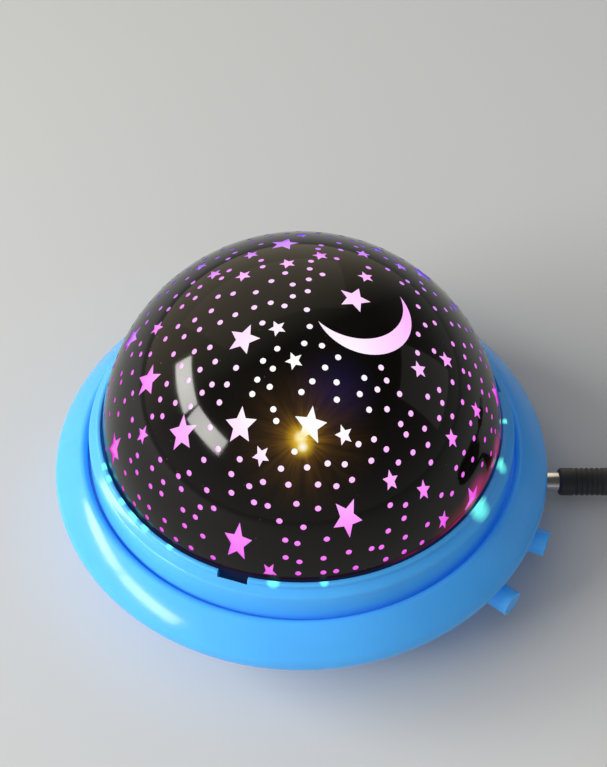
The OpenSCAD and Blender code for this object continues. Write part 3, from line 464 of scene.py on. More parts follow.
@dataclass(frozen=True)
class MouldedPlastic(Finish):
    """A moulded plastic: base, buttons, deck, gears and switch bodies."""

    colour: Colour
    roughness: float
    depth: Colour | None = None
    gloss: float = 0.0
    grain: float = 0.12
    worn: float = 0.06
    shine: float = 0.5
    lit: Colour | None = None

    def draw(self, on: Surface) -> None:
        """Sets colour, gloss, light inside the plastic, grain and marks of use.

        Args:
            on: The surface.
        """
        grain = GRAIN.place(on, Where=on.where)
        marks = HANDLING.place(on, Where=on.where)
        tone = on.blend(grain["Tone"], shade(self.colour, 0.9), self.colour)
        on.set("Base Color", on.blend(marks["Dust"], tone, shade(self.colour, 0.75, 0.12)))
        rough = on.scaled(marks["Smudge"], self.worn, self.roughness)
        on.set("Roughness", on.scaled(marks["Scratch"], 0.25, rough))
        on.set("Specular IOR Level", self.shine)
        if self.depth:
            on.set("Subsurface Weight", 0.25)
            on.set("Subsurface Radius", self.depth)
            on.set("Subsurface Scale", 0.004)
        if self.gloss:
            on.set("Coat Weight", self.gloss)
            on.set("Coat Roughness", 0.35)
        if self.lit:
            on.glow(self.lit)
        on.bump(on.scaled(marks["Scratch"], -0.6, grain["Height"]), self.grain, 0.00004)


@dataclass(frozen=True)
class GlowingDome(Finish):
    """The clear dome with the painted glow of the lamps inside, and a dark rim under the skin's edge with painted red
    light on it, strongest at the right, and painted dark navy shade where it sits below the lip's top.
    """

    centre: Point
    edge_z: float
    lip_z: float

    def draw(self, on: Surface) -> None:
        """Sets the light that the dome shows and its rim.

        Args:
            on: The surface.
        """
        glow = LAMP_GLOW.place(on, Where=on.where, Centre=self.centre)["Glow"]
        height = on.axes(on.where)["Z"]
        rim = on.span(height, self.edge_z - 0.0003, self.edge_z + 0.0001)
        mottle = on.span(on.noise(on.where, 90.0, 4.0), 0.4, 0.62, 0.25, 1.0)
        # Painted light: the rim's red glow is mottled and strongest towards the right.
        right = on.near(on.outward(on.where, self.centre), direction(-24, 7), 0.15, 0.75)
        band = on.blend(on.times(right, mottle), (0.012, 0.0008, 0.0015), (0.55, 0.012, 0.10))
        # Painted shade: below the lip's top the rim shows a faint dark navy glow in place of the red light.
        below_lip_shade = on.span(height, self.lip_z - 0.0004, self.lip_z, 1.0, 0.0)
        on.glow(on.blend(rim, on.blend(below_lip_shade, band, (0.002, 0.010, 0.035)), glow))
        on.set("Base Color", on.blend(rim, (0.008, 0.002, 0.003), (0.05, 0.04, 0.05)))
        on.set("Roughness", 0.12)
        on.set("IOR", 1.3)
        on.bump(on.noise(on.where, 120.0, 2.0), 0.05, 0.0002)


@dataclass(frozen=True)
class PrintedSkin(Finish):
    """The gloss black printed skin of the dome. The lamps shine faintly through the ink and its windows glow."""

    colour: Colour
    roughness: float
    centre: Point
    radius: float
    edge_z: float

    def draw(self, on: Surface) -> None:
        """Sets a deep black with faint smudges and dust, the windows' lit sides and the lamps' glare.

        Args:
            on: The surface.
        """
        marks = HANDLING.place(on, Where=on.where)
        tone = on.blend(on.span(on.noise(on.where, 30.0), 0.35, 0.65), self.colour, shade(self.colour, 1.6))
        on.set("Base Color", on.blend(marks["Dust"], tone, (0.05, 0.05, 0.05)))
        on.set("Roughness", on.scaled(marks["Smudge"], 0.05, self.roughness))
        on.set("IOR", 1.33)
        out = on.outward(on.where, self.centre)
        height = on.axes(on.where)["Z"]
        inside = on.near(on.where, self.centre, self.radius - 0.00010, self.radius - 0.00006)
        side = on.times(inside, on.span(height, self.edge_z + 0.0001, self.edge_z + 0.0002))
        through = LAMP_GLOW.place(on, Where=on.where, Centre=self.centre)["Glow"]
        low = on.math("POWER", on.span(height, self.edge_z, self.edge_z + 0.006, 1.0, 0.0), 1.6)
        aside = on.span(on.facing(out, direction(-10, 0)), 0.72, 0.93)
        leak = on.blend(on.times(low, aside), self.glare(on, out), (0.22, 0.006, 0.016))
        on.glow(on.blend(side, leak, through))
        on.bump(on.noise(on.where, 60.0, 2.0), 0.04, 0.0002)

    def glare(self, on: Surface, out: Output) -> Output:
        """Draws the warm lamp's glare with its faint rays, and the blue and the red lamps' haze.

        Args:
            on: The surface.
            out: The direction from the dome's centre.

        Returns:
            The colour of the light that comes through the ink.
        """
        ray = on.outward(out, tuple(direction(*WARM_LAMP_AT)))
        streak = on.span(on.noise(ray, 5.5, 3.0, 0.7), 0.35, 0.7, 0.45, 1.35)
        glow = (0.0, 0.0, 0.0)
        for place, reach, fall, colour in (
            ((-74, 59), 0.22, 1.4, (0.006, 0.003, 0.036)),
            ((-33, 10), 0.13, 1.5, (0.60, 0.012, 0.24)),
            ((-16, 11), 0.10, 1.4, (0.42, 0.010, 0.12)),
            ((6, 12), 0.08, 1.4, (0.24, 0.02, 0.12)),
            (WARM_LAMP_AT, 0.42, 2.4, (0.10, 0.045, 0.010)),
            (WARM_LAMP_AT, 0.17, 2.8, (0.62, 0.30, 0.012)),
            ((-90.4, 48.5), 0.078, 1.7, (1.0, 0.62, 0.03)),
            ((-89.6, 46.2), 0.062, 1.7, (1.0, 0.68, 0.04)),
            ((-90.3, 48.6), 0.034, 1.0, (1.0, 1.0, 0.66)),
            ((-89.6, 46.2), 0.026, 0.9, (1.0, 1.0, 0.86)),
        ):
            share = on.math("POWER", on.near(out, direction(*place), 0.0, reach), fall)
            if place == WARM_LAMP_AT:
                share = on.times(share, streak)
            glow = on.blend(share, glow, colour)
        return glow


@dataclass(frozen=True)
class LitCollar(Finish):
    """The base's plastic where the windows near the rim throw small patches of light on it."""

    glint: Colour
    lip_z: float = LIP_Z / MM

    def draw(self, on: Surface) -> None:
        """Sets the plastic as the base's, and adds the patches.

        Args:
            on: The surface.
        """
        SKY_BLUE.draw(on)
        mask = 0.0
        for azimuth, radius, size in (
            (-160.5, 55.2, 1.6), (-156.0, 55.2, 1.6), (-147.2, 55.2, 1.6), (-141.4, 55.4, 2.2), (-136.2, 55.3, 1.7),
            (-127.0, 55.3, 1.3), (-97.3, 55.4, 2.0), (-84.2, 55.3, 1.4), (-18.5, 56.6, 2.8), (-34.6, 56.4, 4.2),
            (-3.0, 55.6, 1.2),
        ):
            point = spot(azimuth, radius, self.lip_z).translation
            mask = on.math("MAXIMUM", mask, on.near(on.where, point, size * MM * 0.3, size * MM))
        on.glow(on.blend(mask, SKY_BLUE.lit, self.glint))


@dataclass(frozen=True)
class BareMetal(Finish):
    """Steel and plated metal, brushed or drawn along an axis."""

    colour: Colour
    roughness: float
    stretch: Point = (1.0, 1.0, 12.0)

    def draw(self, on: Surface) -> None:
        """Sets the metal with its drawn lines and stains.

        Args:
            on: The surface.
        """
        marks = BRUSHING.place(on, Where=on.where, Stretch=self.stretch)
        on.set("Base Color", on.blend(marks["Stain"], self.colour, shade(self.colour, 0.78)))
        on.set("Metallic", 1.0)
        on.set("Roughness", on.scaled(marks["Lines"], 0.2, self.roughness))
        on.bump(marks["Lines"], 0.08, 0.00002)


@dataclass(frozen=True)
class SoftRubber(Finish):
    """Soft black rubber or lead sheath: matt, finely grained, a little dusty."""

    colour: Colour
    roughness: float

    def draw(self, on: Surface) -> None:
        """Sets the matt black and its grain.

        Args:
            on: The surface.
        """
        grain = GRAIN.place(on, Where=on.where, Size=2600.0, Flow=120.0)
        on.set("Base Color", on.blend(grain["Tone"], self.colour, shade(self.colour, 1.5, 0.004)))
        on.set("Roughness", on.scaled(grain["Tone"], 0.12, self.roughness))
        on.set("Sheen Weight", 0.05)
        on.bump(grain["Height"], 0.25, 0.00005)


@dataclass(frozen=True)
class SolderMask(Finish):
    """A printed circuit board: green mask over copper tracks."""

    colour: Colour
    track: Colour

    def draw(self, on: Surface) -> None:
        """Sets the mask with tracks that show lighter through it.

        Args:
            on: The surface.
        """
        inputs = {"Vector": on.where, "Scale": 260.0, "Randomness": 0.35}
        cell = on.add("ShaderNodeTexVoronoi", inputs, feature="F1", distance="CHEBYCHEV").outputs["Distance"]
        line = on.span(on.math("ABSOLUTE", on.math("SUBTRACT", cell, 0.42)), 0.03, 0.07, 1.0, 0.0)
        on.set("Base Color", on.blend(line, self.colour, self.track))
        on.set("Roughness", on.span(line, 0.0, 1.0, 0.32, 0.22))
        on.bump(line, 0.3, 0.00005)


@dataclass(frozen=True)
class LampLens(Finish):
    """The epoxy lens of a lamp that is lit."""

    colour: Colour
    strength: float
    base_z: float = LAMP_BASE_Z

    def draw(self, on: Surface) -> None:
        """Sets a lens that glows most at its top.

        Args:
            on: The surface.
        """
        top = on.span(on.axes(on.where)["Z"], self.base_z, self.base_z + 0.007, 0.1, 1.0)
        tone = on.blend(top, self.colour, shade(self.colour, 0.5, 0.5))
        on.glow(tone, self.strength)
        on.set("Base Color", tone)
        on.set("Roughness", 0.08)
        on.set("Coat Weight", 0.5)


SKY_BLUE = MouldedPlastic(
    "sky_blue_plastic",
    "base_blue",
    (0.088, 0.43, 0.93),
    0.13,
    depth=(0.5, 1.0, 1.6),
    gloss=0.15,
    grain=0.05,
    worn=0.05,
    shine=0.2,
    lit=(0.001, 0.03, 0.10),
)
LIT_COLLAR = LitCollar("sky_blue_lit_collar", "base_blue", (0.15, 0.97, 0.66))
NATURAL_WHITE = MouldedPlastic("natural_white_plastic", "white_plastic", (0.80, 0.79, 0.74), 0.38, (1.0, 0.9, 0.7))
GEAR_WHITE = MouldedPlastic("acetal_white", "white_plastic", (0.84, 0.84, 0.82), 0.3, (1.0, 1.0, 0.9), shine=0.4)
SWITCH_BLACK = MouldedPlastic("switch_black_plastic", "black_plastic", (0.02, 0.02, 0.022), 0.42, grain=0.3)
GRIP_BLACK = SoftRubber("plug_grip_black", "black_plastic", (0.015, 0.015, 0.017), 0.5)
LEAD_BLACK = SoftRubber("lead_sheath_black", "black_plastic", (0.013, 0.013, 0.014), 0.42)
FOOT_RUBBER = SoftRubber("foot_rubber", "black_rubber", (0.018, 0.018, 0.018), 0.72)
DOME_GLOW = GlowingDome("lit_clear_dome", "clear_dome", DOME_CENTRE, SKIN_EDGE_Z, LIP_Z)
SKIN_BLACK = PrintedSkin(
    "printed_black_skin", "black_skin", (0.0036, 0.0032, 0.0027), 0.05, DOME_CENTRE, SKIN_RADIUS, SKIN_EDGE_Z
)
BRIGHT_STEEL = BareMetal("bright_steel", "steel", (0.66, 0.67, 0.69), 0.2)
PLUG_STEEL = BareMetal("plug_plating", "steel", (0.72, 0.72, 0.74), 0.14, (8.0, 1.0, 1.0))
MOTOR_STEEL = BareMetal("motor_can_steel", "steel", (0.60, 0.61, 0.62), 0.28, (1.0, 1.0, 0.1))
GOLD = BareMetal("gold_contact", "steel", (0.83, 0.58, 0.22), 0.18)
SOLDER = BareMetal("tinned_solder", "steel", (0.70, 0.70, 0.71), 0.3)
GREEN_BOARD = SolderMask("green_circuit_board", "circuit_board", (0.012, 0.12, 0.045), (0.05, 0.27, 0.10))
LAMP_FINISHES = (
    LampLens("lamp_warm_white", "lamp_white", (1.0, 0.72, 0.32), 6.0),
    LampLens("lamp_blue", "lamp_blue", (0.03, 0.10, 1.0), 5.0),
    LampLens("lamp_red", "lamp_red", (1.0, 0.03, 0.05), 5.0),
    LampLens("lamp_green", "lamp_green", (0.05, 1.0, 0.25), 3.0),
)


# Shaping


def deselect_all() -> None:
    """Leaves edit mode and deselects every object."""
    active = bpy.context.view_layer.objects.active
    if active and active.mode != "OBJECT":
        bpy.ops.object.mode_set(mode="OBJECT")
    bpy.ops.object.select_all(action="DESELECT")


def activate(piece: bpy.types.Object) -> None:
    """Makes a piece the only selected object and the active one.

    Args:
        piece: The piece.
    """
    deselect_all()
    piece.select_set(True)
    bpy.context.view_layer.objects.active = piece


def shown(name: str, data: bpy.types.ID) -> bpy.types.Object:
    """Puts an object that holds the given data into the scene.

    Args:
        name: The object's name.
        data: Its mesh, curve, light or camera.

    Returns:
        The object.
    """
    made = bpy.data.objects.new(name, data)
    bpy.context.scene.collection.objects.link(made)
    return made


class Shaper:
    """One mesh piece in work, shaped by edit-mode operators and modifiers. Sizes are in millimetres."""

    def __init__(self, piece: bpy.types.Object, name: str) -> None:
        """Takes over a fresh object and names it."""
        self.piece = piece
        piece.name = piece.data.name = name

    @classmethod
    def cylinder(cls, name: str, radius: float, low: float, high: float, sides: int = 48) -> Shaper:
        """Starts from an upright cylinder on the Z axis.

        Args:
            name: The piece's name.
            radius: Its radius.
            low: The height of its foot.
            high: The height of its top.
            sides: Number of sides.

        Returns:
            The shaper that holds it.
        """
        deselect_all()
        size = {"radius": radius * MM, "depth": (high - low) * MM}
        bpy.ops.mesh.primitive_cylinder_add(vertices=sides, location=mm(0, 0, (low + high) / 2), **size)
        return cls(bpy.context.object, name).placed()

    @classmethod
    def cube(cls, name: str, low: Point, high: Point) -> Shaper:
        """Starts from a box between two corners.

        Args:
            name: The piece's name.
            low: The corner with the least values.
            high: The corner across from it.

        Returns:
            The shaper that holds it.
        """
        deselect_all()
        bpy.ops.mesh.primitive_cube_add(size=1.0, location=mm(*((a + b) / 2 for a, b in zip(low, high))))
        shaper = cls(bpy.context.object, name)
        shaper.piece.scale = mm(*(b - a for a, b in zip(low, high)))
        return shaper.placed()

    @classmethod
    def spun(cls, name: str, profile: Profile, steps: int = 64) -> Shaper:
        """Starts from a point, draws a profile with it and spins the profile round the Z axis.

        Args:
            name: The piece's name.
            profile: Radius and height of each point of the profile.
            steps: Number of steps of the turn.

        Returns:
            The shaper that holds the turned solid.
        """
        deselect_all()
        bpy.ops.mesh.primitive_plane_add(size=MM, location=(0, 0, 0))
        shaper = cls(bpy.context.object, name)
        points = [Vector(mm(r, 0, h)) for r, h in profile]
        with shaper.edit():
            bpy.ops.mesh.merge(type="CENTER")
            bpy.ops.transform.translate(value=points[0])
            for start, end in zip(points, points[1:]):
                bpy.ops.mesh.extrude_vertices_move(TRANSFORM_OT_translate={"value": end - start})
            bpy.ops.mesh.select_all(action="SELECT")
            bpy.ops.mesh.spin(steps=steps, angle=2 * math.pi, center=(0, 0, 0), axis=(0, 0, 1))
            bpy.ops.mesh.select_all(action="SELECT")
            bpy.ops.mesh.remove_doubles(threshold=WELD)
            bpy.ops.mesh.normals_make_consistent(inside=False)
        return shaper

    def placed(self) -> Shaper:
        """Applies the object's place, turn and size to its mesh.

        Returns:
            The shaper itself.
        """
        activate(self.piece)
        bpy.ops.object.transform_apply(location=True, rotation=True, scale=True)
        return self

    @contextmanager
    def edit(self) -> Iterator[None]:
        """Turns edit mode on for this piece, for a with block.

        Returns:
            The context.
        """
        activate(self.piece)
        bpy.ops.object.mode_set(mode="EDIT")
        yield
        bpy.ops.object.mode_set(mode="OBJECT")

    def select(self, test: Test) -> None:
        """Selects the faces whose centre and normal pass a test. Edit mode has to be on.

        Args:
            test: Tells by a face's centre and normal whether it is taken.
        """
        bpy.ops.mesh.select_all(action="DESELECT")
        for face in bmesh.from_edit_mesh(self.piece.data).faces:
            if test(face.calc_center_median() / MM, face.normal):
                face.select_set(True)
        bmesh.update_edit_mesh(self.piece.data)

    def inset(self, test: Test, thickness: float, depth: float = 0.0) -> Shaper:
        """Insets the faces that pass a test, and sinks or raises them.

        Args:
            test: Tells by a face's centre and normal whether it is taken.
            thickness: How far the edges move in.
            depth: How far the faces rise. It is below 0 where they sink.

        Returns:
            The shaper itself.
        """
        with self.edit():
            self.select(test)
            bpy.ops.mesh.inset(thickness=thickness * MM, depth=depth * MM)
        return self

    def extrude(self, test: Test, *move: float) -> Shaper:
        """Extrudes the faces that pass a test by a move.

        Args:
            test: Tells by a face's centre and normal whether it is taken.
            move: The move along X, Y and Z.

        Returns:
            The shaper itself.
        """
        with self.edit():
            self.select(test)
            bpy.ops.mesh.extrude_region_move(TRANSFORM_OT_translate={"value": mm(*move)})
        return self

    def rounded(self, width: float, segments: int = 2, angle: float = 35.0) -> Shaper:
        """Rounds the sharp edges."""
        return self.modified("BEVEL", width=width * MM, segments=segments, angle_limit=math.radians(angle))

    def modified(self, kind: str, **settings: object) -> Shaper:
        """Adds a modifier with the given settings and applies it.

        Args:
            kind: The modifier's type.
            settings: Values for its properties.

        Returns:
            The shaper itself.
        """
        activate(self.piece)
        modifier = self.piece.modifiers.new(kind.lower(), kind)
        for name, value in settings.items():
            setattr(modifier, name, value)
        bpy.ops.object.modifier_apply(modifier=modifier.name)
        return self

    def cut(self, *cutters: Shaper) -> Shaper:
        """Takes other pieces' shapes out of this one and removes them.

        Args:
            cutters: The pieces to take out.

        Returns:
            The shaper itself.
        """
        for cutter in cutters:
            self.modified("BOOLEAN", operation="DIFFERENCE", object=cutter.piece, solver="EXACT")
            bpy.data.objects.remove(cutter.piece)
        return self

    def moved(self, place: Matrix) -> Shaper:
        """Moves the mesh by a matrix.

        Args:
            place: The matrix.

        Returns:
            The shaper itself.
        """
        self.piece.data.transform(place)
        self.piece.data.update()
        return self

    def repeated(self, places: Sequence[Matrix]) -> Shaper:
        """Copies the piece to each place, each copy with its own mesh, and joins the copies.

        Args:
            places: Where the copies go.

        Returns:
            The shaper itself.
        """
        copies = [Shaper(shown(self.piece.name, self.piece.data.copy()), self.piece.name) for _ in places[1:]]
        for copy, place in zip(copies, places[1:]):
            copy.moved(place)
        return self.moved(places[0]).joined(*copies)

    def joined(self, *others: Shaper) -> Shaper:
        """Joins other pieces into this one.

        Args:
            others: The pieces to join.

        Returns:
            The shaper itself.
        """
        activate(self.piece)
        for other in others:
            other.piece.select_set(True)
        if others:
            bpy.ops.object.join()
        return self

    def smoothed(self, angle: float = 35.0) -> Shaper:
        """Smooths the faces, and keeps the edges sharper than an angle.

        Args:
            angle: The angle in degrees.

        Returns:
            The shaper itself.
        """
        activate(self.piece)
        bpy.ops.object.shade_smooth_by_angle(angle=math.radians(angle))
        return self

    def dressed(self, finish: Finish, *nodes: str, body: str = "base") -> bpy.types.Object:
        """Finishes the piece: material, body and the nodes that it stands for.

        Args:
            finish: The finish of its whole surface.
            nodes: The CAD nodes that it replaces.
            body: The CAD body that it rides on.

        Returns:
            The finished object.
        """
        return dress(self.piece, finish, body, nodes)


def dress(piece: bpy.types.Object, finish: Finish, body: str, nodes: Sequence[str]) -> bpy.types.Object:
    """Gives an object its material and body, and hides the CAD nodes that it stands for.

    Args:
        piece: The object.
        finish: The finish of its whole surface.
        body: The CAD body that it rides on.
        nodes: The CAD nodes that it replaces.

    Returns:
        The object.
    """
    piece.data.materials.clear()
    piece.data.materials.append(finish.material())
    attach(piece, body)
    if nodes:
        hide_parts(*nodes)
    LOG.info("made %s on %s", piece.name, body)
    return piece


def together(pieces: Sequence[Shaper]) -> Shaper:
    """Joins pieces into the first of them."""
    return pieces[0].joined(*pieces[1:])


def smooth_copy(node: str, name: str, angle: float = 30.0) -> Shaper:
    """Copies a CAD node's mesh, joins its loose triangles and smooths it.

    Args:
        node: The CAD node's name.
        name: The new piece's name.
        angle: Edges sharper than this stay sharp, in degrees.

    Returns:
        The shaper that holds the copy.
    """
    shaper = Shaper(shown(name, FRAME["nodes"][node].data.copy()), name)
    with shaper.edit():
        bpy.ops.mesh.customdata_custom_splitnormals_clear()
        bpy.ops.mesh.select_all(action="SELECT")
        bpy.ops.mesh.remove_doubles(threshold=WELD / 2)
    return shaper.smoothed(angle)


def coat(finish: Finish, *nodes: str) -> None:
    """Gives CAD nodes that stay a finish.

    Args:
        finish: The finish.
        nodes: The CAD nodes' names.
    """
    for node in nodes:
        materials = FRAME["nodes"][node].data.materials
        materials.clear()
        materials.append(finish.material())
        LOG.info("coated %s with %s", node, finish.name)


def wire(name: str, points: Sequence[Point], radius: float, rings: int, kind: str) -> bpy.types.Object:
    """Draws a round wire as a curve.

    Args:
        name: The object's name.
        points: The points of its middle line, in metres.
        radius: Its radius in millimetres.
        rings: The steps of its roundness.
        kind: The kind of spline: BEZIER for a smooth line and POLY for a straight one between its points.

    Returns:
        The curve object.
    """
    data = bpy.data.curves.new(name, "CURVE")
    data.dimensions = "3D"
    data.bevel_depth = radius * MM
    data.bevel_resolution = rings
    data.use_fill_caps = True
    spline = data.splines.new(kind)
    smooth = kind == "BEZIER"
    made = spline.bezier_points if smooth else spline.points
    made.add(len(points) - 1)
    for point, place in zip(made, points):
        point.co = place if smooth else (*place, 1.0)
        if smooth:
            point.handle_left_type = point.handle_right_type = "AUTO"
    return shown(name, data)


# Studio


@dataclass
class Studio:
    """The floor, the lamps, the world and the camera."""

    lens: float = 65.7
    camera_at: Point = (0.0, -0.2482, 0.3310)
    camera_down: float = 48.494
    shift: float = 0.00244
    floor_tone: float = 0.6
    left: Point = (-0.75, -0.5, 0.43)
    behind: Point = (-0.47, 0.84, 0.28)
    aim: Point = (0.0, 0.0, 0.03)

    def camera(self) -> None:
        """Sets up the camera."""
        data = bpy.data.cameras.new("camera")
        data.lens = self.lens
        data.sensor_width = 36.0
        data.shift_x = self.shift
        data.clip_start, data.clip_end = 0.01, 20.0
        camera = shown("camera", data)
        camera.location = self.camera_at
        camera.rotation_euler = (math.radians(90 - self.camera_down), 0.0, 0.0)
        bpy.context.scene.camera = camera

    def floor(self) -> None:
        """Lays the floor."""
        deselect_all()
        bpy.ops.mesh.primitive_plane_add(size=8.0, location=(0, 0, -0.0001))
        floor = bpy.context.object
        floor.name = "floor"
        on = Surface("pale_floor")
        tone = on.span(on.noise(on.where, 3.0, 2.0), 0.3, 0.7, self.floor_tone * 0.98, self.floor_tone)
        on.set("Base Color", on.add("ShaderNodeCombineColor", {0: tone, 1: tone, 2: tone}).outputs[0])
        on.set("Roughness", 0.8)
        on.set("Specular IOR Level", 0.15)
        floor.data.materials.append(on.material)

    def world(self) -> None:
        """Sets a dim world, brightest at the left, that shows pale low down and in gloss, with a warm wall behind."""
        world = bpy.data.worlds.new("studio")
        world.use_nodes = True
        tree = Tree(world.node_tree)
        path = tree.add("ShaderNodeLightPath").outputs
        seen = tree.math("MAXIMUM", path["Is Camera Ray"], path["Is Glossy Ray"])
        seen = tree.math("MAXIMUM", seen, path["Is Transmission Ray"])
        way = tree.add("ShaderNodeTexCoord").outputs["Generated"]
        level = tree.span(tree.facing(way, Vector(self.left)), 0.05, 1.0, 0.05, 1.15)
        soft = tree.add("ShaderNodeBackground", {"Color": (0.96, 0.98, 1.0), "Strength": level})
        tone = tree.ramp(
            tree.axes(way)["Z"], (0.02, (0.40, 0.40, 0.39)), (0.3, (0.20, 0.195, 0.185)), (0.65, (0.06, 0.056, 0.05))
        )
        wall = tree.span(tree.facing(way, Vector(self.behind)), 0.45, 0.85)
        pale = tree.add("ShaderNodeBackground", {"Color": tree.blend(wall, tone, (1.0, 0.88, 0.64)), "Strength": 1.0})
        both = tree.add("ShaderNodeMixShader", {0: seen, 1: soft.outputs[0], 2: pale.outputs[0]})
        tree.add("ShaderNodeOutputWorld", {"Surface": both.outputs[0]})
        bpy.context.scene.world = world

    def lamps(self) -> None:
        """Hangs the soft lamps: two bright panes at the left and dim ones at the right and behind."""
        pane, day = (0.57, 0.21), (1.0, 0.99, 0.93)
        for name, place, size, power, colour, spread in (
            ("left_front", (-1.00, -0.50, 0.62), pane, 3.1, day, 110.0),
            ("left_back", (-1.11, 0.08, 0.61), pane, 3.1, day, 110.0),
            ("right", (1.08, 0.14, 0.50), (0.62, 0.62), 0.5, (1.0, 0.96, 0.86), 180.0),
            ("back", (-0.45, 1.25, 1.20), (2.2, 1.4), 2.5, (1.0, 0.90, 0.74), 180.0),
        ):
            data = bpy.data.lights.new(name, "AREA")
            data.shape = "RECTANGLE"
            data.spread = math.radians(spread)
            data.size, data.size_y = size
            data.energy = power
            data.color = colour
            lamp = shown(name, data)
            lamp.location = place
            lamp.rotation_euler = (Vector(self.aim) - Vector(place)).to_track_quat("-Z", "Y").to_euler()


# Power lead


@dataclass
class PowerLead:
    """The lead from the plug's strain relief to its coil and on to the supply plug."""

    diameter: float = 3.5
    exit_x: float = 103.5
    exit_z: float = 7.5
    straight: float = 7.25
    bend: float = 17.0
    drop_from: float = 2.0
    drop_length: float = 30.0
    climb_from: float = -4.0
    climb_length: float = 23.0
    stretch_steps: int = 14
    turn_steps: int = 24
    coil_out_r: float = 22.5
    coil_in_r: float = 15.5
    usb_z: float = 4.0
    tail_end: float = 23.0
    barrel_from: float = 63.5
    grip_from: float = 74.5
    grip_length: float = 17.0
    grip_r: float = 4.0
    groove_from: float = 4.2
    groove_pitch: float = 1.5
    grooves: int = 6
    relief_rings: int = 6
    relief_r: tuple[float, float, float] = (3.1, 2.15, 1.95)
    usb_size: Point = (15.0, 20.0, 8.0)
    shell_size: Point = (12.0, 12.0, 4.5)

    @property
    def coil_centre(self) -> tuple[float, float]:
        """The coil's centre."""
        return self.exit_x + self.straight + self.bend + self.coil_out_r, -self.bend

    def approach(self) -> list[Point]:
        """Draws the stretch from the strain relief down to the table and into the coil.

        Returns:
            The points of its middle line.
        """
        points = []
        reach = self.straight + self.bend * math.pi / 2
        for i in range(self.stretch_steps):
            s = reach * i / self.stretch_steps
            turn = max(0.0, s - self.straight) / self.bend
            x = self.exit_x + min(s, self.straight) + self.bend * math.sin(turn)
            y = -self.bend * (1 - math.cos(turn))
            share = (s - self.drop_from) / self.drop_length
            points.append((x, y, eased(self.exit_z, self.diameter / 2, share)))
        return points

    def turns(self) -> list[Point]:
        """Draws the turns of the coil: in and out again, twice, one layer on another.

        Returns:
            The points of their middle line.
        """
        wide, tight = self.coil_out_r, self.coil_in_r
        cx, cy = self.coil_centre
        angle, layer = 180.0, 0
        points = []
        for length, first, last, climb in (
            (2.0, wide, tight, 0),
            (0.25, tight, tight, 1),
            (1.75, tight, wide, 0),
            (0.25, wide, wide, 1),
            (2.0, wide, tight, 0),
            (0.25, tight, tight, 1),
            (2.0, tight, wide, 0),
        ):
            steps = round(length * self.turn_steps)
            for i in range(steps):
                share = i / steps
                a = math.radians(angle + 360 * length * share)
                r = first + (last - first) * share
                z = self.diameter * (0.5 + layer + climb * eased(0, 1, share))
                points.append((cx + r * math.cos(a), cy + r * math.sin(a), z))
            angle += 360 * length
            layer += climb
        return points

    def tail(self) -> list[Point]:
        """Draws the stretch from the coil's top down to the supply plug.

        Returns:
            The points of its middle line.
        """
        cx, cy = self.coil_centre
        x = cx + self.coil_out_r
        top = self.diameter * 3.5
        steps = self.stretch_steps
        rows = [cy + (self.tail_end - cy) * i / steps for i in range(steps + 1)]
        return [(x, y, eased(top, self.usb_z, (y - self.climb_from) / self.climb_length)) for y in rows]

    def barrel(self) -> list[bpy.types.Object]:
        """Makes the plug's metal barrel, with the black ring and the spring sleeve at its mouth.

        Returns:
            The finished pieces.
        """
        mouth, back = self.barrel_from, self.grip_from
        sleeve = [(2.3, mouth + 0.1), (2.45, mouth), (2.65, mouth), (2.75, mouth + 0.15), (2.75, mouth + 1.1)]
        sleeve += [(2.68, mouth + 1.2), (2.68, mouth + 1.5), (2.75, mouth + 1.6), (2.75, back), (2.3, back)]
        ring = [(1.3, mouth + 0.15), (2.3, mouth + 0.15), (2.3, back), (1.3, back)]
        core = [(1.05, mouth + 0.5), (1.15, mouth + 0.3), (1.3, mouth + 0.3), (1.3, back), (1.05, back)]
        place = at(0, 0, self.exit_z) @ OUTWARDS
        return [
            Shaper.spun(name, [*outline, outline[0]], steps).moved(place).smoothed().dressed(finish, *nodes)
            for name, outline, steps, finish, nodes in (
                ("plug_sleeve", sleeve, 64, PLUG_STEEL, ["plug_barrel"]),
                ("plug_insulator", ring, 48, SWITCH_BLACK, []),
                ("plug_contact", core, 32, GOLD, []),
            )
        ]

    def grip(self) -> bpy.types.Object:
        """Makes the plug's grip with finger grooves, and its ringed strain relief.

        Returns:
            The finished piece.
        """
        r, start = self.grip_r, self.grip_from
        end = start + self.grip_length
        outline = [(0, start), (2.9, start), *arc(r - 0.9, start + 0.9, 0.9, -90, 0, 5)]
        for i in range(self.grooves):
            groove = start + self.groove_from + i * self.groove_pitch
            outline += [(r, groove), (r - 0.28, groove + 0.22), (r - 0.28, groove + 0.62), (r, groove + 0.84)]
        wide, slim, core = self.relief_r
        outline += [(r, end - 3), *arc(r - 1.0, end - 1.6, 0.9, 20, 80, 4), (wide, end - 0.4)]
        pitch = (self.exit_x - end) / self.relief_rings
        for i in range(self.relief_rings):
            ring_r = wide + (slim - wide) * (i + 0.5) / self.relief_rings
            low = end + i * pitch
            outline += [(ring_r, low + 0.1), (ring_r, low + 1.25), (core, low + 1.4), (core, low + pitch - 0.05)]
        outline += [(slim, self.exit_x - 0.3), (2.05, self.exit_x), (0, self.exit_x)]
        body = Shaper.spun("plug_handle", outline).moved(at(0, 0, self.exit_z) @ OUTWARDS)
        return body.smoothed(32).dressed(GRIP_BLACK, "plug_grip")

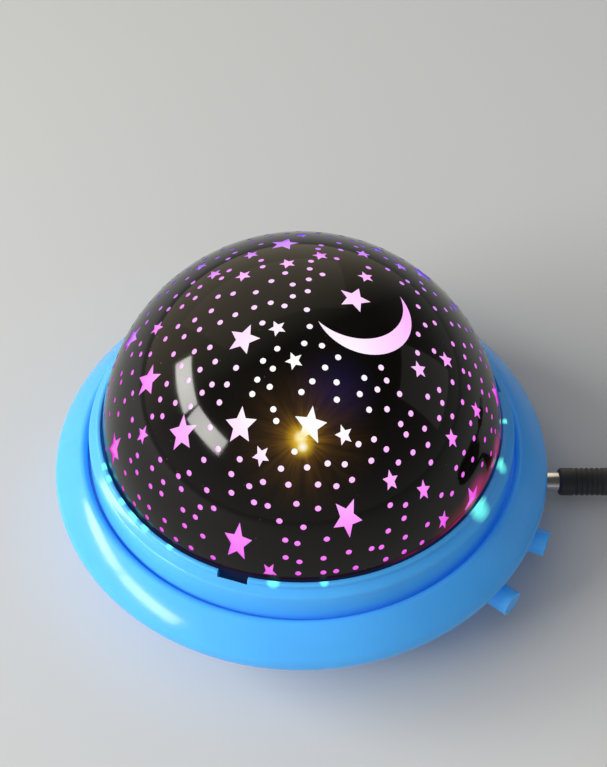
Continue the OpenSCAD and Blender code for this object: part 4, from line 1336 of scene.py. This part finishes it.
    def tie(self) -> bpy.types.Object:
        """Makes the strap round the coil, with its overlapped end.

        Returns:
            The finished piece.
        """
        x, cy = self.coil_centre
        y = cy + (self.coil_out_r + self.coil_in_r) / 2
        half = 1.5 * self.diameter + 1.0
        wide, top = 2.5, 4 * self.diameter + 0.7
        strap = Shaper.cube("coil_strap", (x - wide, y - half, 0.0), (x + wide, y + half, top))
        with strap.edit():
            strap.select(lambda c, n: abs(n.x) > 0.9)
            bpy.ops.mesh.delete(type="ONLY_FACE")
            bpy.ops.mesh.select_all(action="SELECT")
        strap.modified("BEVEL", width=2.2 * MM, segments=5, limit_method="ANGLE")
        strap.modified("SOLIDIFY", thickness=0.6 * MM, offset=-1.0)
        strap.rounded(0.15, 2, 60)
        flap = Shaper.cube("flap", (x - wide, y - 2.5, top - 0.1), (x + wide, y + 3.6, top + 0.5)).rounded(0.25)
        return strap.joined(flap).smoothed(40).dressed(GRIP_BLACK, "coil_tie")

    def supply_plug(self) -> list[bpy.types.Object]:
        """Makes the supply plug: its grip, its metal shell, the tongue and four contacts.

        Returns:
            The finished pieces.
        """
        x = self.coil_centre[0] + self.coil_out_r
        y, z = self.tail_end, self.usb_z
        wide, long, high = (v / 2 for v in self.usb_size)
        low_y = y + 7
        mid = low_y + long
        body = Shaper.cube("supply_body", (x - wide, low_y, z - high), (x + wide, low_y + 2 * long, z + high))
        body.rounded(1.6, 5)
        body.inset(lambda c, n: n.z > 0.99 and abs(c.y - mid) < 2, 1.0)
        body.inset(lambda c, n: n.z > 0.99 and abs(c.y - mid) < 2 and abs(c.x - x) < 2, 0.35, -0.35)
        for side in (x - wide, x + wide):
            grooves = [
                Shaper.cube("groove", (side - 0.45, g, z - 2.2), (side + 0.45, g + 0.8, z + 2.2))
                for g in (mid - 4.6, mid - 3.0, mid - 1.4, mid + 0.2, mid + 1.8)
            ]
            body.cut(together(grooves))
        outline = [(0, 0), (2.1, 0), (2.25, 0.2)]
        for i in range(3):
            r, low = 2.35 + 0.25 * i, 0.4 + i * 2.1
            outline += [(r, low), (r + 0.1, low + 1.4), (2.0, low + 1.55), (2.0, low + 1.95)]
        outline += [(3.1, 6.8), (3.1, 9), (0, 9)]
        relief = Shaper.spun("supply_relief", outline, 40).moved(at(x, y, z) @ BACKWARDS)
        shell = self.shell(x, low_y + 2 * long, z)
        return [body.joined(relief).smoothed(32).dressed(GRIP_BLACK, "usb_grip"), *shell]

    def shell(self, x: float, y: float, z: float) -> list[bpy.types.Object]:
        """Makes the supply plug's folded metal shell with its two latch holes, and what is in it.

        Args:
            x: The plug's middle across.
            y: Where the shell starts.
            z: The height of the plug's middle.

        Returns:
            The finished pieces.
        """
        wide, long, high = self.shell_size
        tube = Shaper.cube("supply_shell", (x - wide / 2, y, z - high / 2), (x + wide / 2, y + long, z + high / 2))
        tube.inset(lambda c, n: n.y > 0.9, 0.3)
        tube.inset(lambda c, n: n.y > 0.9 and abs(c.x - x) < 1 and abs(c.z - z) < 1, 0.0)
        tube.extrude(lambda c, n: n.y > 0.9 and abs(c.x - x) < 1 and abs(c.z - z) < 1, 0, 1.0 - long, 0)
        tube.rounded(0.12, 2)
        for side in (-1, 1):
            hole = (x + side * 2.9 - 1.1, y + 4.2, z - high)
            tube.cut(Shaper.cube("hole", hole, (hole[0] + 2.2, hole[1] + 2.2, z + high)))
        low = z - high / 2 + 0.3
        tongue = Shaper.cube("supply_tongue", (x - 5.7, y + 1.0, low), (x + 5.7, y + long - 0.5, low + 1.6))
        pads = [
            Shaper.cube("supply_contacts", (x + c - w, y + 2.0, low + 1.5), (x + c + w, y + long - e, low + 1.68))
            for c, w, e in ((-3.5, 0.6, 1.2), (-1.1, 0.5, 2.2), (1.1, 0.5, 2.2), (3.5, 0.6, 1.2))
        ]
        return [
            tube.smoothed(30).dressed(PLUG_STEEL, "usb_shell"),
            tongue.rounded(0.15).smoothed().dressed(NATURAL_WHITE),
            together([pad.rounded(0.05) for pad in pads]).smoothed().dressed(GOLD),
        ]

    def build(self) -> None:
        """Makes the pieces on the lead, then draws the lead as one smooth curve."""
        pieces = [*self.barrel(), self.grip(), self.tie(), *self.supply_plug()]
        route = [Vector(mm(*p)) for p in (*self.approach(), *self.turns(), *self.tail())]
        lead = wire("supply_lead", route, self.diameter / 2, 4, "BEZIER")
        lead.data.resolution_u = 3
        dress(lead, LEAD_BLACK, "base", ("usb_lead", "lead_coil", "lead_tail"))


# Dome and base


@dataclass
class StarDome:
    """The clear dome and the printed skin over it."""

    centre: Point = DOME_CENTRE

    def round_normals(self, piece: bpy.types.Object) -> None:
        """Gives both faces of a shell the normals of a ball, so that the windows leave no dents in the gloss.

        Args:
            piece: The shell.
        """
        mesh = piece.data
        normals = []
        for polygon in mesh.polygons:
            for corner in polygon.loop_indices:
                out = (mesh.vertices[mesh.loops[corner].vertex_index].co - Vector(self.centre)).normalized()
                side = out.dot(polygon.normal)
                normals.append(out * math.copysign(1, side) if abs(side) > 0.9 else polygon.normal.copy())
        mesh.normals_split_custom_set(normals)

    def build(self) -> None:
        """Makes both shells."""
        self.round_normals(smooth_copy("dome", "clear_shell").dressed(DOME_GLOW, "dome", body="dome"))
        self.round_normals(smooth_copy("star_skin", "star_shell").dressed(SKIN_BLACK, "star_skin", body="dome"))


@dataclass
class Base:
    """The housings, the turntable and the CAD pieces that stay."""

    def build(self) -> None:
        """Dresses the base."""
        smooth_copy("upper_housing", "base_ring").dressed(SKY_BLUE, "upper_housing")
        smooth_copy("lower_housing", "base_pan").dressed(SKY_BLUE, "lower_housing")
        smooth_copy("turntable", "turning_collar").dressed(LIT_COLLAR, "turntable", body="turntable")
        smooth_copy("deck", "inner_deck").dressed(NATURAL_WHITE, "deck")
        coat(GEAR_WHITE, "pinion", "roller_1", "roller_2", "roller_3")
        coat(BRIGHT_STEEL, "motor_shaft", "roller_pins")


# Screws, buttons and other small parts


@dataclass
class CrossScrew:
    """A pan head screw with a cross recess and a coarse thread. It points up from its head."""

    head_r: float
    head_h: float
    shank_r: float
    length: float
    pitch: float = 0.8

    def shape(self, name: str) -> Shaper:
        """Turns the screw and cuts its recess.

        Args:
            name: The piece's name.

        Returns:
            The screw, with the seat of its head at the origin.
        """
        r, head, shank, length = self.head_r, self.head_h, self.shank_r, self.length
        height = 0.4
        outline = [(0, -head), (r * 0.55, -head), *arc(r - 0.6, -head + 0.75, 0.6, -60, 0, 4)]
        outline += [(r, 0), (shank, 0), (shank, height)]
        while height + self.pitch < length - 1.0:
            outline += [(shank * 0.8, height + self.pitch * 0.35), (shank * 0.8, height + self.pitch * 0.7)]
            height += self.pitch
            outline.append((shank, height))
        screw = Shaper.spun(name, [*outline, (shank * 0.75, length - 0.5), (0, length)], 40)
        arm, half = r * 0.6, r * 0.12
        for x, y in ((arm, half), (half, arm)):
            screw.cut(Shaper.cube("recess", (-x, -y, -head - 1), (x, y, -head * 0.45)))
        return screw.smoothed(32)


@dataclass
class Fasteners:
    """All the screws, and the rubber feet."""

    seat_z: float = 7.5 - 1.6
    case_ring: float = 47.0
    deck_z: float = 21.0
    deck_ring: float = 63.5
    motor_at: Point = (13.5, 38.5, 18.0)
    board_at: Point = (-30.3, 44.5, 10.8)
    board_hole: float = 12.5
    foot_ring: float = 44.5
    foot_r: float = 5.0

    def build(self) -> None:
        """Models each kind once and copies it to its places."""
        x, y, z = self.motor_at
        hole = self.board_hole
        board = spot(*self.board_at)
        for name, node, screw, places in (
            (
                "case_screws",
                "housing_screws",
                CrossScrew(2.8, 2.0, 1.3, 9.6, 1.1),
                [spot(a, self.case_ring, self.seat_z) for a in (25, 155, 270)],
            ),
            (
                "deck_fixings",
                "deck_screws",
                CrossScrew(1.8, 1.2, 1.0, 4.4),
                [spot(a, self.deck_ring, self.deck_z) for a in (90, 210, 330)],
            ),
            ("motor_fixings", "motor_screws", CrossScrew(2.0, 1.2, 1.0, 3.6), [at(-x, y, z), at(x, y, z)]),
            (
                "board_fixings",
                "board_screws",
                CrossScrew(2.0, 1.2, 1.0, 5.6),
                [board @ at(0, h, 0) @ UPSIDE_DOWN for h in (-hole, hole)],
            ),
        ):
            screw.shape(name).repeated(places).dressed(BRIGHT_STEEL, node)
        r = self.foot_r
        outline = [(0, 0.25), (r * 0.55, 0.25), (r * 0.62, 0.0), *arc(r - 0.6, 0.6, 0.6, -90, 0, 5), (r, 2), (0, 2)]
        feet = Shaper.spun("feet", outline, 48).repeated([spot(a, self.foot_ring) for a in (52, 128, 232, 308)])
        feet.smoothed(30).dressed(FOOT_RUBBER, "rubber_feet")


@dataclass
class PushKey:
    """One push button with its plunger and its tact switch."""

    name: str
    azimuth: float
    button_z: float = 13.8
    key_in: float = 55.4
    face: float = 72.3
    radius: float = 3.5
    switch_front: float = 51.9

    def build(self) -> None:
        """Makes the cap, the plunger and the switch."""
        body = f"{self.name}_key"
        r, face, inner = self.radius, self.face, self.key_in
        place = spot(self.azimuth, 0, self.button_z) @ OUTWARDS
        cap = Shaper.cylinder(f"{self.name}_cap", r, inner, face, 72)
        cap.inset(lambda c, n: n.z > 0.9, 0.75)
        cap.inset(lambda c, n: n.z > 0.9 and c.xy.length < 0.1, 0.25, -0.16)
        cap.extrude(lambda c, n: n.z < -0.9, 0, 0, 0)
        cap.rounded(0.28, 3, 40)
        flange = [(0, inner), (r + 0.6, inner), (r + 0.8, inner + 0.2), (r + 0.8, inner + 1.2), (r - 0.3, inner + 1.2)]
        cap.joined(Shaper.spun("flange", [*flange, (r - 0.3, inner + 0.6), (0, inner + 0.6)], 72))
        cap.moved(place).smoothed(30).dressed(SKY_BLUE, f"{self.name}_button", body=body)
        stem = [(0, 51.0), (1.5, 51.0), (1.7, 51.2), (1.7, inner - 0.6), (1.5, inner - 0.4), (1.5, inner), (0, inner)]
        plunger = Shaper.spun(f"{self.name}_stem", stem, 32).moved(place)
        plunger.smoothed().dressed(NATURAL_WHITE, f"{self.name}_plunger", body=body)
        self.switch()

    def switch(self) -> None:
        """Makes the tact switch: a black body, a folded steel plate with its four rivets, and the legs."""
        front, z = self.switch_front, self.button_z
        back = front - 4.5
        axis = at(0, 0, z) @ OUTWARDS
        block = Shaper.cube(f"{self.name}_switch_body", (back, -3, z - 3), (front - 0.3, 3, z + 3)).rounded(0.25)
        block.cut(Shaper.cylinder("bore", 1.8, 49.6, front + 1, 32).moved(axis))
        block.moved(spot(self.azimuth)).smoothed(30).dressed(SWITCH_BLACK, f"{self.name}_switch")
        plate = Shaper.cube(f"{self.name}_switch_plate", (front - 0.3, -2.9, z - 2.9), (front, 2.9, z + 2.9))
        plate.rounded(0.1).cut(Shaper.cylinder("bore", 1.95, front - 1, front + 1, 32).moved(axis))
        dome = [(0, front + 0.12), (0.3, front + 0.1), (0.45, front - 0.05), (0, front - 0.05)]
        corners = [at(0, y, z + h) for y in (-2.2, 2.2) for h in (-2.2, 2.2)]
        rivets = Shaper.spun("rivet", dome, 16).moved(OUTWARDS).repeated(corners)
        legs = Shaper.cube("leg", (-0.15, -0.35, -1.6), (0.15, 0.35, 0.6)).rounded(0.06)
        legs.repeated([at(back + x, y, z - 3) for x in (1.0, 3.4) for y in (-2.4, 2.4)])
        plate.joined(rivets, legs).moved(spot(self.azimuth)).smoothed(30).dressed(BRIGHT_STEEL)


@dataclass
class PowerSocket:
    """The power socket in the side of the base."""

    axis_z: float = 7.5
    back: float = 55.5
    face: float = 69.5
    depth: float = 8.0

    def build(self) -> None:
        """Makes the black body and the centre pin."""
        back, face, bottom = self.back, self.face, self.face - self.depth
        place = at(0, 0, self.axis_z) @ OUTWARDS
        outline = [(0, back), (4.2, back), (4.5, back + 0.3), (4.5, face - 0.4), (4.1, face)]
        outline += [(3.2, face), (2.9, face - 0.3), (2.9, bottom), (0, bottom)]
        Shaper.spun("socket_body", outline).moved(place).smoothed().dressed(SWITCH_BLACK, "dc_socket")
        pin = [(0, bottom - 1), (0.9, bottom - 1), (0.9, face - 1.6), *arc(0.3, face - 1.6, 0.6, 0, 90, 4)]
        Shaper.spun("socket_pin", [*pin, (0, face - 1)], 24).moved(place).smoothed().dressed(PLUG_STEEL)


# Lamps and boards


@dataclass
class Lamps:
    """The four lamps on their round board, with their chip resistors and solder joints."""

    board_top: float = 18.8
    board_t: float = 1.6
    lens_r: float = 2.5
    lens_h: float = 8.6
    ring: float = 18.0
    chip_ring: float = 12.0
    lead_gap: float = 1.27

    def build(self) -> None:
        """Makes the lenses and what is soldered to the board."""
        r, top = self.lens_r, self.lens_h
        lens = [(0, 0), (r + 0.3, 0), (r + 0.4, 0.1), (r + 0.4, 0.9), (r + 0.3, 1), (r, 1.05)]
        lens += [*arc(0, top - r, r, 0, 88, 12), (0, top)]
        places = [at(0, 0, self.board_top), *(spot(a, self.ring, self.board_top) for a in (70, 190, 310))]
        for name, finish, place in zip(("white", "blue", "red", "green"), LAMP_FINISHES, places):
            Shaper.spun(f"{name}_lens", lens, 48).smoothed().moved(place).dressed(finish, f"led_{name}")
        coat(GREEN_BOARD, "led_board")
        joint = [(0, 0.4), (0.25, 0.4), (0.35, 0.0), (0.5, -0.35), (1.0, -0.6), (0, -0.6)]
        under = at(0, 0, -self.board_t) @ UPSIDE_DOWN
        joints = [p @ under @ at(s, 0, 0.6) for p in places for s in (-self.lead_gap, self.lead_gap)]
        Shaper.spun("lamp_joints", joint, 20).repeated(joints).smoothed(40).dressed(SOLDER)
        chips = [spot(a, self.chip_ring, self.board_top) for a in range(40, 400, 60)]
        body = Shaper.cube("lamp_resistors", (-0.7, -0.8, 0), (0.7, 0.8, 0.55)).rounded(0.06)
        body.repeated(chips).smoothed().dressed(SWITCH_BLACK)
        end = Shaper.cube("lamp_resistor_ends", (0.7, -0.82, 0), (1.2, 0.82, 0.58)).rounded(0.08)
        end.repeated([p @ spot(a) for p in chips for a in (0, 180)]).smoothed().dressed(SOLDER)


@dataclass
class MainBoard:
    """The parts on the main board: a chip, a capacitor and a plug-in connector."""

    azimuth: float = -30.3
    top: float = 10.8
    can_at: Point = (39.6, 6.2, 0.0)
    pin_gap: float = 1.27

    def build(self) -> None:
        """Makes each part in the board's own frame and turns it into place."""
        coat(GREEN_BOARD, "main_board")
        place = spot(self.azimuth, 0, self.top)
        chip = Shaper.cube("control_chip", (37.8, -5.2, 0.2), (41.6, -0.4, 1.7)).rounded(0.18)
        chip.cut(Shaper.cylinder("mark", 0.35, 1.6, 2.0, 20).moved(at(38.5, -1.1, 0)))
        chip.moved(place).smoothed().dressed(SWITCH_BLACK)
        leg = Shaper.cube("chip_legs", (0, -0.2, 0.75), (0.5, 0.2, 0.95))
        leg.extrude(lambda c, n: n.x > 0.9, 0.35, 0, -0.75)
        leg.extrude(lambda c, n: n.x > 0.9, 0.5, 0, 0)
        rows = [at(x, -4.7 + self.pin_gap * i, 0) @ spot(t) for x, t in ((41.5, 0), (37.9, 180)) for i in range(4)]
        leg.repeated(rows).moved(place).smoothed().dressed(SOLDER)
        can = [(0, 0), (2.2, 0), (2.5, 0.3), (2.5, 0.8), (2.35, 1.0), (2.35, 1.3), (2.5, 1.5), (2.5, 4.6), (2.2, 4.9)]
        sleeve = Shaper.spun("capacitor_sleeve", [*can, (1.9, 4.9), (1.9, 4.7), (0, 4.7)], 40)
        sleeve.moved(place @ at(*self.can_at)).smoothed().dressed(SWITCH_BLACK)
        cap = Shaper.spun("capacitor_top", [(0, 4.6), (1.95, 4.6), (1.95, 4.8), (1.8, 4.9), (0, 4.9)], 40)
        for x, y in ((1.3, 0.08), (0.08, 1.3)):
            cap.cut(Shaper.cube("vent", (-x, -y, 4.82), (x, y, 5.2)))
        cap.moved(place @ at(*self.can_at)).smoothed().dressed(BRIGHT_STEEL)
        shell = Shaper.cube("wire_connector", (36.6, -11.6, 0), (41.0, -7.4, 4.2)).rounded(0.2)
        shell.inset(lambda c, n: n.z > 0.9, 0.6)
        shell.inset(lambda c, n: n.z > 0.9 and abs(c.x - 38.8) < 1 and abs(c.y + 9.5) < 1, 0.05, -3.0)
        shell.moved(place).smoothed().dressed(NATURAL_WHITE)
        pin = Shaper.cube("connector_pins", (-0.3, -0.3, 1.0), (0.3, 0.3, 3.8)).rounded(0.1)
        pin.repeated([at(38.8, y, 0) for y in (-10.4, -8.6)]).moved(place).smoothed().dressed(SOLDER)


# Drive and battery bay


@dataclass
class Drive:
    """The gear motor with its ears and terminals."""

    motor_y: float = 38.5
    can_from: float = 6.2
    can_to: float = 19.2
    can_r: float = 10.0
    ear_x: float = 13.5
    tab_x: float = 5.5

    def build(self) -> None:
        """Makes the can, the mounting plate and the terminals."""
        low, high, r = self.can_from, self.can_to, self.can_r
        place = at(0, self.motor_y, 0)
        outline = [(0, low - 1.6), (2.3, low - 1.6), (2.6, low - 1.3), (2.6, low)]
        outline += arc(r - 0.9, low + 0.9, 0.9, -90, 0, 5)
        for z in (low + 4.2, low + 8.6):
            outline += [(r, z), (r - 0.25, z + 0.15), (r - 0.25, z + 0.45), (r, z + 0.6)]
        outline += [*arc(r - 0.5, high - 0.5, 0.5, 0, 90, 4), (3.5, high), (3.5, high + 1.3), (3.2, high + 1.6)]
        outline += [(1.55, high + 1.6), (1.55, 14.5), (0, 14.5)]
        Shaper.spun("motor_can", outline, 72).moved(place).smoothed(30).dressed(MOTOR_STEEL, "gear_motor")
        plate = Shaper.cube("motor_plate", (-self.ear_x, -2.6, high - 1.2), (self.ear_x, 2.6, high)).rounded(0.15)
        under = (1.2, high - 1.2)
        ear = [under, (2.5, high - 1.2), (2.6, high - 1.1), (2.6, high - 0.1), (2.5, high), (1.2, high), under]
        for x in (-self.ear_x, self.ear_x):
            ring = Shaper.spun("ear", ear, 32).moved(at(x, 0, 0))
            plate.cut(Shaper.cylinder("hole", 1.9, high - 3, high + 3, 32).moved(at(x, 0, 0))).joined(ring)
        plate.moved(place).smoothed(30).dressed(BRIGHT_STEEL, "gear_motor")
        tab = Shaper.cube("motor_tabs", (-1.0, -0.2, low - 2.0), (1.0, 0.2, low + 0.1)).rounded(0.1)
        tab.cut(Shaper.cylinder("hole", 0.5, -1, 1, 20).moved(at(0, 0, low - 1.1) @ BACKWARDS))
        tab.repeated([at(x, self.motor_y, 0) for x in (-self.tab_x, self.tab_x)]).smoothed().dressed(GOLD)


@dataclass
class BatteryBay:
    """The springs, the contact plates and the hinged cover of the battery bay."""

    wall_x: float = 25.25 - 0.4
    pitch: float = 10.9
    cell_z: float = 9.15
    cells: int = 4
    wire_r: float = 0.4
    coil_r: float = 3.4
    arrow_y: float = -11.6

    def ends(self, side: int) -> list[Matrix]:
        """Lists the places at the cells' ends, from one side and the other in turn, with X into the bay.

        Args:
            side: 1 if the first place is at +X, -1 if it is at -X.

        Returns:
            The places.
        """
        sides = [side if i % 2 == 0 else -side for i in range(self.cells)]
        rows = [((i - 1.5) * self.pitch, s) for i, s in enumerate(sides)]
        return [at(s * self.wall_x, y, self.cell_z) @ spot(0 if s < 0 else 180) for y, s in rows]

    def build(self) -> None:
        """Winds a tapered spring, makes the contacts' pressed buttons, and the cover with an arrow to its latch."""
        turns, steps = 4, 20
        points = []
        for i in range(turns * steps + 1):
            share = i / (turns * steps)
            a = 2 * math.pi * turns * share
            r = self.coil_r - 1.2 * share
            points.append(mm(self.wire_r + 1.8 * share, r * math.cos(a), r * math.sin(a)))
        activate(wire("cell_springs", points, self.wire_r, 3, "POLY"))
        bpy.ops.object.convert(target="MESH")
        spring = Shaper(bpy.context.object, "cell_springs").repeated(self.ends(-1))
        spring.smoothed(60).dressed(BRIGHT_STEEL, "battery_springs")
        button = Shaper.spun("contact_buttons", [(0, 0.9), (1.6, 0.8), (2.3, 0.45), (2.7, 0.0), (0, 0.0)], 32)
        button.repeated([place @ OUTWARDS for place in self.ends(1)]).smoothed(40).dressed(BRIGHT_STEEL)
        coat(BRIGHT_STEEL, "battery_plates")
        arrow = Shaper.cylinder("arrow", 2.6, 0.98, 1.3, 3).moved(at(0, self.arrow_y, 0) @ spot(180)).rounded(0.1)
        cover = smooth_copy("battery_cover", "bay_cover").joined(arrow)
        cover.smoothed(30).dressed(SKY_BLUE, "battery_cover", body="battery_cover")


def corners(box: Iterable[Vector]) -> list[list[float]]:
    """A box as plain lists."""
    return [list(corner) for corner in box]


def main() -> None:
    """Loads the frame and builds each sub-assembly."""
    logging.basicConfig(level=logging.INFO, format="%(name)s: %(message)s")
    FRAME.update(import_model())
    studio = Studio()
    studio.camera()
    for part in (
        PowerLead(),
        StarDome(),
        Base(),
        PushKey("power", -21.4),
        PushKey("spin", -39.2),
        PowerSocket(),
        Lamps(),
        MainBoard(),
        Drive(),
        BatteryBay(),
        Fasteners(),
    ):
        part.build()
    studio.floor()
    studio.world()
    studio.lamps()
    bpy.context.scene.view_settings.view_transform = "Standard"
    deselect_all()
    bpy.context.view_layer.update()


if __name__ == "__main__":
    main()
